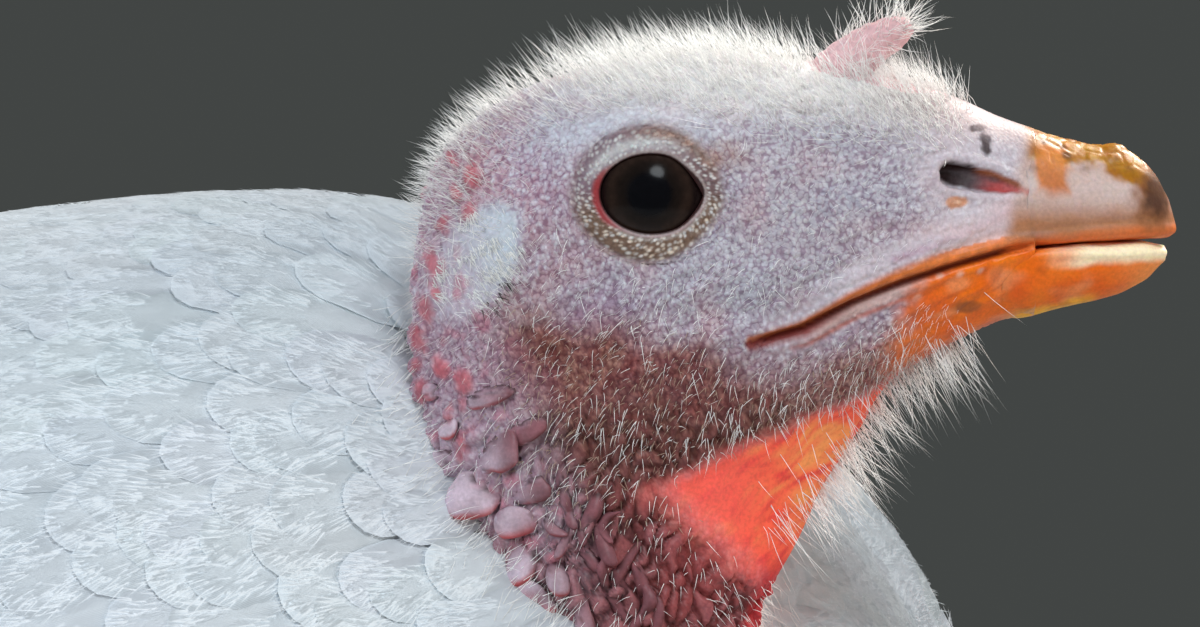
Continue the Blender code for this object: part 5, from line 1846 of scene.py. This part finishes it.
def make_wing(side, sign):
    mesh = outward(tube_mesh("wing_base_" + side, placed(wing_rings(sign, 3.2, 11.0), BODY)))
    p = points_of(mesh)
    spots = np.column_stack([(p[:, 0] + 0.4) / 0.9, p[:, 2] / 0.6])
    plain_base("wing_base_" + side, mesh, 0.96, p[:, 0] / MM, p[:, 2] / MM, spots,
               ["wing_coverts_" + side, "wing_flights_" + side])
    coat = Coat()
    for kind, first, last, rows, length, width, (high, low), depth, count in WING_ROWS:
        long_kind = kind in ("primary", "secondary")
        shares = np.linspace(0, 1, 15) ** 0.9 if long_kind else VANE_SHARES
        lines = []
        for row in range(rows):
            root = first + (last - first) * (row / max(rows - 1, 1))
            fullness = math.sin(math.pi / 2 * min(1.0, root / 0.16))
            number = int(count * (0.55 + 0.45 * fullness))
            for j in range(number):
                at = (j + 0.5 * (row % 2) + 0.25 + rng.uniform(-0.12, 0.12)) / number
                chord = high + (low - high) * min(at, 1.0)
                lines.append((root + rng.uniform(-0.009, 0.009), chord, at))
        lines = np.array(lines)
        roots, chord_at, at = lines[:, 0:1], lines[:, 1:2], lines[:, 2:3]
        reach = length / (WING_SHOULDER - WING_TIP) * rng.uniform(0.95, 1.05, (len(lines), 1))
        if kind == "primary":
            reach = reach * (1.13 - 0.30 * at)
            chord_end = 0.35 + 0.55 * at
        elif kind == "secondary":
            reach = reach * (0.90 + 0.28 * at)
            chord_end = 0.05 + 0.84 * at
        else:
            chord_end = chord_at + 0.01 + rng.uniform(-0.015, 0.015, (len(lines), 1))
        run = np.minimum(roots + reach * shares[None, :], 0.992)
        chords_run = chord_at + (chord_end - chord_at) * shares[None, :]
        layer = (1 - at) * (2.6 if long_kind else 0.5)
        start_lift = -depth * (0.4 if long_kind else 1.1)
        height = wing_top(run, chords_run) - 2.6 + start_lift * (1 - shares[None, :]) ** 1.2
        height = height + 1.9 * shares[None, :] ** 1.5
        height = np.maximum(height + layer - (2.0 if long_kind else 0.0), 0.4)
        centres = wing_point(run, chords_run, height, sign)
        above = wing_point(run, chords_run, height + 1.0, sign)
        normals, sides = squared(unit(above - centres), centres)
        widths = vane_width(shares, 0.20 if long_kind else 0.34)[None, :] * width
        widths = widths * rng.uniform(0.9, 1.05, (len(lines), 1))
        tints = WHITE * rng.uniform(0.94, 1.04, (len(lines), 1)) + np.zeros(3)
        spots = np.column_stack([lines[:, 0] * 0.9 + 0.05, lines[:, 1] * 0.9 + 0.05])
        coat.add(centres, normals, sides, widths, 0.8, 0.09, tints, spots)
    coat.build("wing_feathers_" + side)


# ---------------------------------------------------------------- tail

TAIL_SECTIONS = [
    column(-262, 343, 316, 34),
    column(-320, 325, 300, 47),
    column(-380, 303, 285, 57),
    column(-440, 280, 268, 62),
    column(-472, 268, 260, 52, upper=2.6, lower=2.6),
    column(-486, 262, 257, 26, upper=2.4, lower=2.4),
]


def tail_level(x, share, top):
    """The height of the closed tail's upper or lower side at x, a share of the way out to its edge."""
    knots, high, _, low = np.array(TAIL_SECTIONS)[::-1, :4].T
    high, low = np.interp(x, knots, high), np.interp(x, knots, low)
    between = (high + low) / 2
    bow = 1 - np.clip(share, -1, 1) ** 2
    return between + (high - between) * bow if top else between - (between - low) * bow


def tail_width(x):
    table = np.array(TAIL_SECTIONS)[::-1]
    return np.interp(x, table[:, 0], table[:, 4])


# Rows: how many, root and tip along the body, half width, upper side or lower, how deep below it.
TAIL_ROWS = [(12, -262.0, -484.0, 11.5, True, 4.4), (11, -266.0, -474.0, 11.5, False, 3.6)]
TAIL_ROWS += [(11 + k % 2, -312.0 + 15.0 * k, -404.0 + 22.0 * k, 11.5 - 0.8 * k, True, 1.2 - 0.3 * k)
              for k in range(5)]
TAIL_ROWS += [(10 + k % 2, -320.0 + 17.0 * k, -430.0 + 25.0 * k, 12.0 - 0.8 * k, False, 1.2 - 0.3 * k)
              for k in range(5)]


def make_tail():
    x = np.linspace(-262.0, -466.0, 30)[:, None]
    share = np.linspace(-1.0, 1.0, 25)[None, :]
    width = tail_width(x) - 12.0
    upper = tail_level(x, share * 0.86, True) - 7.0
    lower = np.minimum(tail_level(x, share * 0.86, False) + 6.0, upper - 0.8)
    sheets = [np.stack([x + 0 * share, width * share, level], axis=-1) for level in (upper, lower)]
    rings = np.concatenate([sheets[0], sheets[1][:, ::-1]], axis=1)
    core = outward(tube_mesh("tail_core", placed(rings, BODY)))
    p = points_of(core)
    plain_base("tail_core", core, 0.96, p[:, 0] / MM, p[:, 1] / MM, p[:, :2] + (0.6, 0.5), ["tail"])
    coat = Coat()
    for count, root, tip, width, top, depth in TAIL_ROWS:
        long_row = tip < -440
        up = 1.0 if top else -1.0
        shares = np.linspace(0, 1, 15) ** 0.9 if long_row else VANE_SHARES
        side_share = np.linspace(-1, 1, count)[:, None]
        if not long_row:
            side_share = side_share + rng.uniform(-0.03, 0.03, (count, 1))
        shorter = 0.07 * side_share**2 if long_row else 0.22 * side_share**2
        reach = (tip - root) * (1 - shorter) * rng.uniform(0.965, 1.0, (count, 1))
        x = root + reach * shares[None, :]
        spare = width * (0.75 if long_row else 0.3) * smooth(0.0, 0.5, shares)[None, :]
        room = np.maximum(tail_width(x) - spare, 4.0)
        y = side_share * room
        slope = tail_level(x, (y + 0.5) / tail_width(x), top) - tail_level(x, (y - 0.5) / tail_width(x), top)
        stack = (1 - np.abs(side_share)) * (2.6 if long_row else 0.5)
        dip = (3.0 if long_row else 2.6) * (1 - shares[None, :]) ** 1.2
        level = tail_level(x, y / tail_width(x), top) - up * (depth + dip - stack)
        centres = np.stack([x, y, level], axis=-1)
        normals, sides = squared(unit(np.stack([0 * x, -slope, 1 + 0 * x], axis=-1)) * up, centres)
        widths = vane_width(shares, 0.16 if long_row else 0.34)[None, :] * np.full((count, 1), width)
        tints = WHITE * rng.uniform(0.93, 1.02, (count, 1)) + np.zeros(3)
        spots = np.column_stack([side_share[:, 0] * 0.4 + 0.5, np.full(count, (-root - 230) / 100)])
        coat.add(centres, normals, sides, widths, 0.7, 0.07, tints, spots)
    coat.build("tail_feathers")


# ---------------------------------------------------------------- legs

SHANK_RADII = (10.5, 7.6, 7.4, 9.5)
# Each toe's length, its angle from straight ahead and its radius at the root.
TOES = dict(inner=(60.0, -34.0, 7.4), middle=(80.0, 0.0, 8.2), outer=(64.0, 33.0, 7.6),
            hind=(27.0, 172.0, 6.2))
TOE_ROOT_AWAY, TOE_OVERLAP = 9.5, 4.0
TOE_SHAPE = [(0.0, 1.0, 1.2), (0.3, 0.94, -0.4), (0.66, 0.86, -0.4), (1.0, 0.68, -0.3)]
CLAW_LENGTH, CLAW_RADIUS = 14.0, 3.3
CLAW_SHAPE = [(0.0, 1.0, 0.6), (0.5, 0.78, -0.2), (1.0, 0.21, -0.2)]
CLAW_RINGS, CLAW_AROUND = 44, 36
ROD_STEP = 0.7  # mm from one ring of a shank or toe to the next
UP = np.array((0, 0, 1.0))
SHANK_PINK, SHANK_PALE = np.array((0.56, 0.30, 0.25)), np.array((0.66, 0.48, 0.40))


def rod_rings(centres, sizes, side, over, around, flat=1.0):
    """Round rings about a centre line, with their angles; flat narrows them from side to side."""
    angles = np.linspace(0, 2 * math.pi, around, endpoint=False)
    turn = np.array(over)[..., None, :] * np.cos(angles)[:, None]
    turn = turn + np.array(side)[..., None, :] * np.sin(angles)[:, None] * flat
    return centres[:, None, :] + sizes[:, None, None] * turn, angles


def scaly_rod(points, radii, across_axis, around, scute):
    """A rod with broad scutes along its front and small scales round the rest, in mm: rings and relief."""
    knots = np.arange(len(points))
    evenly = np.linspace(0, len(points) - 1.0, 200)
    fine = hermite(knots, points, evenly)
    run = np.concatenate([[0], np.cumsum(np.linalg.norm(np.diff(fine, axis=0), axis=1))])
    count = int(run[-1] / ROD_STEP)
    length = np.linspace(0, run[-1], count)
    at = np.interp(length, run, evenly)
    centres, sizes = hermite(knots, points, at), hermite(knots, radii, at)
    ahead = unit(np.gradient(centres, axis=0))
    side = unit(np.cross(ahead, across_axis))
    ring, angles = rod_rings(centres, sizes, side, np.cross(side, ahead), around)
    front = smooth(0.25, 0.75, np.cos(angles))[None, :]
    scutes = np.sin(math.pi * ((length[:, None] / scute) % 1.0)) ** 0.45 - 0.7 + 0 * angles[None, :]
    near = cells(ring.reshape(-1, 3), 1.9, 60)[0].reshape(count, around)
    scales = smooth(0.75, 0.25, near) - 0.6
    rise = mix(scales * 0.30, scutes * 0.55, front) * np.clip(sizes / 6.0, 0.4, 1)[:, None]
    return ring + unit(ring - centres[:, None, :]) * rise[..., None], rise


def add_scaly(name, rings, rise, valley, top, node_name):
    """The skin of a shank or a toe, paler on its scales."""
    mesh = outward(tube_mesh(name, placed(rings, BODY)))
    paint(mesh, "tint", mix(valley, top, smooth(-0.25, 0.15, rise.ravel())))
    add_piece(name, mesh, SHANK_FINISH, [node_name])


def along_toe(start, ahead, length, radius, shape):
    """Centres and radii that follow a table of share, size and lift from start along ahead."""
    centres = [start + ahead * length * share + np.array((0, 0, radius * size + lift))
               for share, size, lift in shape]
    return centres, [radius * size for _, size, _ in shape]


def make_claw(name, tip, ahead):
    claw, widths = along_toe(tip - ahead, ahead, CLAW_LENGTH, CLAW_RADIUS, CLAW_SHAPE)
    knots, at = np.arange(len(claw)), np.linspace(0, len(claw) - 1.0, CLAW_RINGS)
    centres, sizes = hermite(knots, claw, at), hermite(knots, widths, at)
    across = np.array((-ahead[1], ahead[0], 0))
    ring, _ = rod_rings(centres, sizes, across, UP, CLAW_AROUND, flat=0.8)
    ring[..., 2] = np.maximum(ring[..., 2], 0.0)
    mesh = outward(tube_mesh("claw_horn_" + name, placed(ring, BODY)))
    shade = np.repeat(np.linspace(0, 1, CLAW_RINGS), CLAW_AROUND)
    paint(mesh, "tint", mix((0.55, 0.44, 0.34), (0.24, 0.16, 0.12), shade))
    add_piece("claw_horn_" + name, mesh, CLAW_FINISH, ["claw_" + name])


def make_toe(name, start, ahead, length, radius):
    pads, sizes = along_toe(start, ahead, length, radius, TOE_SHAPE)
    ring, rise = scaly_rod(pads, sizes, UP, 56, 3.2)
    ring[..., 2] = np.maximum(ring[..., 2], 0.0)
    add_scaly("toe_skin_" + name, ring, rise, SHANK_PINK * 0.72, SHANK_PALE * 0.95, "toe_" + name)
    make_claw(name, start + ahead * length, ahead)


def make_legs():
    for side, sign in (("left", 1), ("right", -1)):
        mirror = np.array((1.0, sign, 1.0))
        hock, ankle = HOCK * mirror, ANKLE * mirror
        line = [hock + (ankle - hock) * share for share in (0.0, 0.28, 0.72, 1.0)]
        ring, rise = scaly_rod(line, SHANK_RADII, np.array((1.0, 0, 0)), 72, 4.2)
        add_scaly("shank_skin_" + side, ring, rise, SHANK_PINK * 0.75, SHANK_PALE, "shank_" + side)
        for name, (length, angle, radius) in TOES.items():
            heading = math.radians(angle) * sign
            ahead = np.array((math.cos(heading), math.sin(heading), 0))
            start = np.array((ankle[0], ankle[1], 0)) + ahead * (TOE_ROOT_AWAY - TOE_OVERLAP)
            make_toe(f"{name}_{side}", start, ahead, length + TOE_OVERLAP, radius)


# ---------------------------------------------------------------- hair

HAIR_STEPS = np.array((0.0, 0.35, 0.7, 1.0))
HAIR_THICKNESS = np.array((1.0, 0.85, 0.55))  # at the first three steps; the last is the tip
HEAD_TURN = np.array(HEAD.to_3x3()).T


def make_hairs(name, roots, ways, lengths, radius, curls, finish, spots, nodes=()):
    """Fine three-sided bristles, in metres, each a closed cone that bends towards curls."""
    count = len(roots)
    ways = unit(ways)
    side = unit(np.cross(ways, rng.normal(0, 1, ways.shape)))
    over = np.cross(ways, side)
    bend = HAIR_STEPS[None, :, None] ** 2
    centres = roots[:, None, :] + ways[:, None, :] * (HAIR_STEPS[None, :, None] * lengths[:, None, None])
    centres = centres + curls[:, None, :] * bend * lengths[:, None, None]
    turn = np.array((0.0, 2.0944, 4.18879))
    across = side[:, None, :] * np.cos(turn)[None, :, None] + over[:, None, :] * np.sin(turn)[None, :, None]
    rings = centres[:, :3, None, :] + across[:, None] * (radius * HAIR_THICKNESS)[None, :, None, None]
    points = np.concatenate([rings.reshape(count, 9, 3), centres[:, 3:4]], axis=1)
    fans = np.array(((6, 7, 9), (7, 8, 9), (8, 6, 9), (0, 2, 1)))
    patch = np.stack([np.tile((-1, 0, 1), 3), np.repeat((-1.0, 0.0, 1.0), 3)], axis=1)
    patch = np.concatenate([patch, [[0, 1.5]]]) * PATCH / 3
    for number, part, mesh in in_pieces(name, points, 16, grid_faces(3, 3), fans):
        bake_map(mesh, (np.clip(spots[part], 0.002, 0.998)[:, None, :] + patch[None]).reshape(-1, 2))
        add_piece(f"{name}_{number}", mesh, finish, nodes)


def head_hairs(name, roots, ways, lengths, radius, curls, finish, nodes=()):
    """Hairs given in the head's frame, in mm."""
    make_hairs(name, placed(roots, HEAD), ways @ HEAD_TURN, lengths * MM, radius * MM, curls @ HEAD_TURN,
               finish, face_spots(roots), nodes)


def face_spots(roots):
    """Places on an unwrap of the head and neck: round it, and down it."""
    around = np.arctan2(roots[:, 1], roots[:, 2] + 12) / (2 * math.pi) + 0.5
    down = np.clip((50 - roots[:, 0] * 0.5 - roots[:, 2]) / 160 + 0.1, 0, 1)
    return np.column_stack([around, down])


def pick(weights, count):
    """Points of the face's mesh, chosen by weight."""
    return rng.choice(len(weights), count, p=weights / weights.sum())


def hair_jobs(p):
    """Name, weights, count, shortest and longest, radius, lay, how far they stand, curl and finish."""
    x, y, z = sided(p)
    at = head_regions(p)
    off_eye = np.clip(smooth(1.9, 2.4, eye_ratio(p)) + (y < 8), 0, 1)
    off_bill = smooth(47, 42, x) * smooth(2.5, 4.0, at.mouth)
    crown = smooth(7.0, 13.0, z + 0.1 * np.abs(x - 5)) * smooth(43, 34, x) * off_eye * smooth(-34, -20, x)
    crown = crown * (1 - 0.75 * blob(p, (24.0, 0.0, 15.0), (5.5, 7.0, 6.0)))
    crown = crown * (0.30 + 0.70 * smooth(-14.0, 0.0, x + 0.8 * (z - 12.0)))
    crown = crown + 0.7 * (smooth(-14, -26, x) * smooth(-12, 4, z))
    off_nostril = smooth(-1.2, -2.6, nostril(p)[0])
    face = off_eye * off_bill * off_nostril * smooth(-30, -18, z) * (1 - at.crown) * smooth(42, 32, x)
    cheek = smooth(2.0, -10.0, z) * smooth(-46, -36, z) * (1 - at.throat) * smooth(-24, -14, x)
    cheek = cheek * off_bill * smooth(36, 26, x)
    low_cheek = cheek * smooth(-9.0, -18.0, z)
    neck = at.neck * (1 - at.throat) * smooth(-70, -60, z)
    jaw = below_line(p, (44.0, -17.0), (20.0, -41.0))
    throat = bell(jaw + 1.5, 3.6) * smooth(-46, -38, z) * smooth(43, 38, x) * smooth(10.0, 2.0, y)
    return [
        ("crown_down", crown, 5600, (2.6, 5.8), 0.043, (-0.55, 0, 0.25), 0.9, (-0.25, 0, 0.1), WHITE_HAIR),
        ("face_down", face, 4200, (0.7, 1.7), 0.026, (-0.75, 0, -0.5), 0.45, (-0.1, 0, -0.3), WHITE_HAIR),
        ("cheek_bristles", cheek + low_cheek, 1300, (0.9, 3.0), 0.052, (-0.75, 0, -0.6), 0.45,
         (0.1, 0, -0.35), WHITE_HAIR),
        ("cheek_stubble", low_cheek * at.brown, 1700, (0.6, 1.7), 0.056, (-0.7, 0, -0.6), 0.55, (0, 0, -0.3),
         TAN_HAIR),
        ("neck_bristles", neck, 1500, (0.9, 2.9), 0.050, (-0.45, 0, -0.65), 0.6, (0, 0, -0.3), WHITE_HAIR),
        ("throat_bristles", throat, 620, (2.2, 8.0), 0.052, (0.35, 0, -0.8), 0.9, (0.2, 0, -0.35),
         WHITE_HAIR),
    ]


def make_head_hair():
    p, n = points_of(face_mesh), normals_of(face_mesh)
    for name, weights, count, (short, long), radius, lay, stand, curl, finish in hair_jobs(p):
        chosen = pick(np.clip(weights, 0, None), count)
        roots = p[chosen] - n[chosen] * 0.12
        course = np.tile(np.array(lay, float), (count, 1))
        forward = smooth(0.0, 16.0, roots[:, 0] - 0.3 * (roots[:, 2] + 42.0))
        forward = forward * smooth(-24.0, -34.0, roots[:, 2])
        course[:, 0] += forward * (0.9 if "neck" in name or "cheek" in name else 0.0)
        unruly = 0.50 if name.startswith("cheek") else 0.32
        ways = unit(n[chosen] * stand + course + rng.normal(0, unruly, (count, 3)))
        lengths = rng.uniform(short, long, count)
        if name == "crown_down":
            lengths = lengths * (0.6 + 0.4 * smooth(-28.0, -10.0, roots[:, 0]))
        curls = np.array(curl) + rng.normal(0, 0.16, (count, 3))
        slot = "neck_skin" if "neck" in name else "skin"
        head_hairs(name, roots, ways, lengths, radius, curls, finish)


# The ears' hairs: kind, count, shortest and longest, radius, how far they stand, finish.
EAR_HAIRS = [
    ("down", 2800, (1.6, 3.8), 0.062, 0.20, WHITE_HAIR),
    ("bristles", 30, (1.3, 2.4), 0.09, 0.5, DARK_HAIR),
]


def ear_places(kind, count):
    """Places in the ear's oval, from -1 to 1: the down over all of it, the bristles at its front edge."""
    a = rng.uniform(0, 2 * math.pi, count)
    r = np.sqrt(rng.uniform(0, 1, count))
    if kind == "bristles":
        return rng.normal(0, 0.07, count) + 0.92, rng.uniform(-0.50, 0.20, count)
    r = r * rng.uniform(0.75, 1.12, count)
    return r * np.cos(a) - 0.1, r * np.sin(a) + 0.06


def make_ears():
    cos, sin = math.cos(EAR_LEAN), math.sin(EAR_LEAN)
    for side, sign in (("left", 1), ("right", -1)):
        for kind, count, (short, long), radius, stand, finish in EAR_HAIRS:
            u, v = ear_places(kind, count)
            x = EAR_CENTRE[0] + u * EAR_HALF[0] * cos + v * EAR_HALF[1] * sin
            z = EAR_CENTRE[1] - u * EAR_HALF[0] * sin + v * EAR_HALF[1] * cos
            roots, ways = [], []
            for px, pz in zip(x, z):
                hit, normal, _, _ = face_tree.ray_cast(Vector((px, sign * 40, pz)), Vector((0, -sign, 0)))
                roots.append(hit - normal * 0.2 if hit else Vector((px, sign * 14, pz)))
                ways.append(normal if hit else Vector((0, sign, 0)))
            roots, ways = np.array(roots), np.array(ways)
            lay = np.column_stack([0.75 + 0.3 * u, 0 * u, -0.55 - 0.5 * v])
            ways = unit(ways * stand + lay + rng.normal(0, 0.16, ways.shape))
            lengths = rng.uniform(short, long, count)
            curls = rng.normal(0, 0.14, ways.shape) + np.array((0, 0, -0.15))
            head_hairs(f"ear_{kind}_{side}", roots, ways, lengths, radius, curls, finish,
                       ["ear_coverts_" + side])


SNOOD_HAIRS = 260


def make_snood_hair():
    count = SNOOD_HAIRS
    share = rng.uniform(0.3, 1.0, count)
    knots, at = np.arange(len(SNOOD_LINE)), share * (len(SNOOD_LINE) - 1)
    a = rng.uniform(-2.2, 2.2, count)
    out = np.column_stack([-0.6 * np.cos(a), np.sin(a), 0.8 * np.cos(a)])
    roots = hermite(knots, SNOOD_LINE, at) + unit(out) * (hermite(knots, SNOOD_RADII, at) * 0.85)[:, None]
    ways = unit(out + np.array((0.9, 0, 0.35)) * share[:, None] + rng.normal(0, 0.3, out.shape))
    curls = np.array((0.15, 0, 0.1)) + rng.normal(0, 0.35, out.shape)
    head_hairs("snood_tuft", roots, ways, rng.uniform(2.0, 5.0, count), 0.05, curls, WHITE_HAIR)


plumage_form = Form(body_form())
down_layer()
trunk_coat()
collar_down()
thigh_coat()
make_wing("left", 1)
make_wing("right", -1)
make_tail()
make_legs()
make_head_hair()
make_ears()
make_snood_hair()


# ---------------------------------------------------------------- studio

CAMERA_AWAY = 500.0  # mm from the head's middle
CAMERA_DOWN = math.radians(5.1)
FRAME_WIDTH = 156.24  # mm across the picture at the head's middle
EYE_RIGHT, EYE_UP = 6.51, 15.82  # where the eyes' middle sits from the picture's centre, in mm there
FLOOR_COLOUR, FLOOR_RADIUS = (0.50, 0.49, 0.475), 1.6
WHITE_PIECES = "body_", "collar_", "wing_", "tail_", "thigh_"  # how the white body's pieces are named


def make_camera():
    flat = -side_axis
    back = (flat * math.cos(CAMERA_DOWN) + Vector((0, 0, 1)) * math.sin(CAMERA_DOWN)).normalized()
    right = fore_axis.normalized()
    up = back.cross(right)
    aim = head_origin - right * EYE_RIGHT * MM - up * EYE_UP * MM
    data = bpy.data.cameras.new("camera")
    data.sensor_width = 36.0
    data.lens = 36.0 * CAMERA_AWAY / FRAME_WIDTH
    data.clip_start = 0.01
    camera = bpy.data.objects.new("camera", data)
    turn = Matrix((right, up, back)).transposed().to_4x4()
    camera.matrix_world = Matrix.Translation(aim + back * CAMERA_AWAY * MM) @ turn
    bpy.context.scene.collection.objects.link(camera)
    bpy.context.scene.camera = camera
    return back, right


def area_light(name, place, target, size, watts, colour, mirrored=True):
    data = bpy.data.lights.new(name, "AREA")
    data.shape = "ELLIPSE"
    data.size, data.size_y = size
    data.energy = watts
    data.color = colour
    light = bpy.data.objects.new(name, data)
    light.location = place
    light.visible_glossy = mirrored
    light.rotation_euler = (target - place).to_track_quat("-Z", "Y").to_euler()
    bpy.context.scene.collection.objects.link(light)
    return light


def make_studio():
    back, right = make_camera()
    up = Vector((0, 0, 1))
    head = head_origin
    body = Vector((0, 0, 0.3))
    key = area_light("key", head - back * 0.75 + right * 0.75 + up * 0.95, head, (0.5, 0.5), 34.0,
                     (1.0, 0.93, 0.84))
    area_light("sky", head + back * 1.0 + right * 0.35 + up * 1.35, head, (0.8, 0.8), 16.0, (0.88, 0.95, 1.0))
    area_light("fill", body + back * 2.2 - right * 1.6 + up * 0.9, body, (2.2, 1.6), 49.0, (0.88, 0.95, 1.0),
               mirrored=False)
    area_light("bounce", head + back * 0.8 + right * 0.55 - up * 0.30, head - up * 0.03, (0.5, 0.3), 2.0,
               (1.0, 0.93, 0.86), mirrored=False)
    area_light("front", body + right * 1.7 + back * 0.25 + up * 0.45, body, (1.0, 0.8), 5.5,
               (1.0, 0.97, 0.93), mirrored=False)
    area_light("far", body - back * 1.6 - right * 1.0 + up * 1.1, body, (1.4, 1.2), 20.0, (1.0, 0.98, 0.95))
    # The key light is for the head's rim of down; on the white body it would burn out.
    lit = bpy.data.collections.new("lit_by_key")
    for piece in bpy.context.scene.objects:
        if piece.type == "MESH" and not piece.name.startswith(WHITE_PIECES):
            lit.objects.link(piece)
    key.light_linking.receiver_collection = lit
    world = bpy.data.worlds.new("studio")
    world.use_nodes = True
    world.node_tree.nodes["Background"].inputs["Color"].default_value = (0.055, 0.06, 0.058, 1)
    world.node_tree.nodes["Background"].inputs["Strength"].default_value = 1.0
    bpy.context.scene.world = world
    bm = bmesh.new()
    bmesh.ops.create_circle(bm, cap_ends=True, segments=128, radius=FLOOR_RADIUS)
    mesh = bpy.data.meshes.new("floor")
    bm.to_mesh(mesh)
    bm.free()
    floor = bpy.data.objects.new("floor", mesh)
    floor.location = (0, 0, -0.0005)
    mesh.materials.append(specked_material("floor_paint", 0.03, 30.0, {"Roughness": 0.85}, FLOOR_COLOUR)[0])
    bpy.context.scene.collection.objects.link(floor)
    floor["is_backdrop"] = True


make_studio()
bpy.context.scene.view_settings.view_transform = "Standard"


def corners(box):
    return [[float(v) for v in corner] for corner in box]


{"cad": corners(CAD_BOX), "visual": corners(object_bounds())}
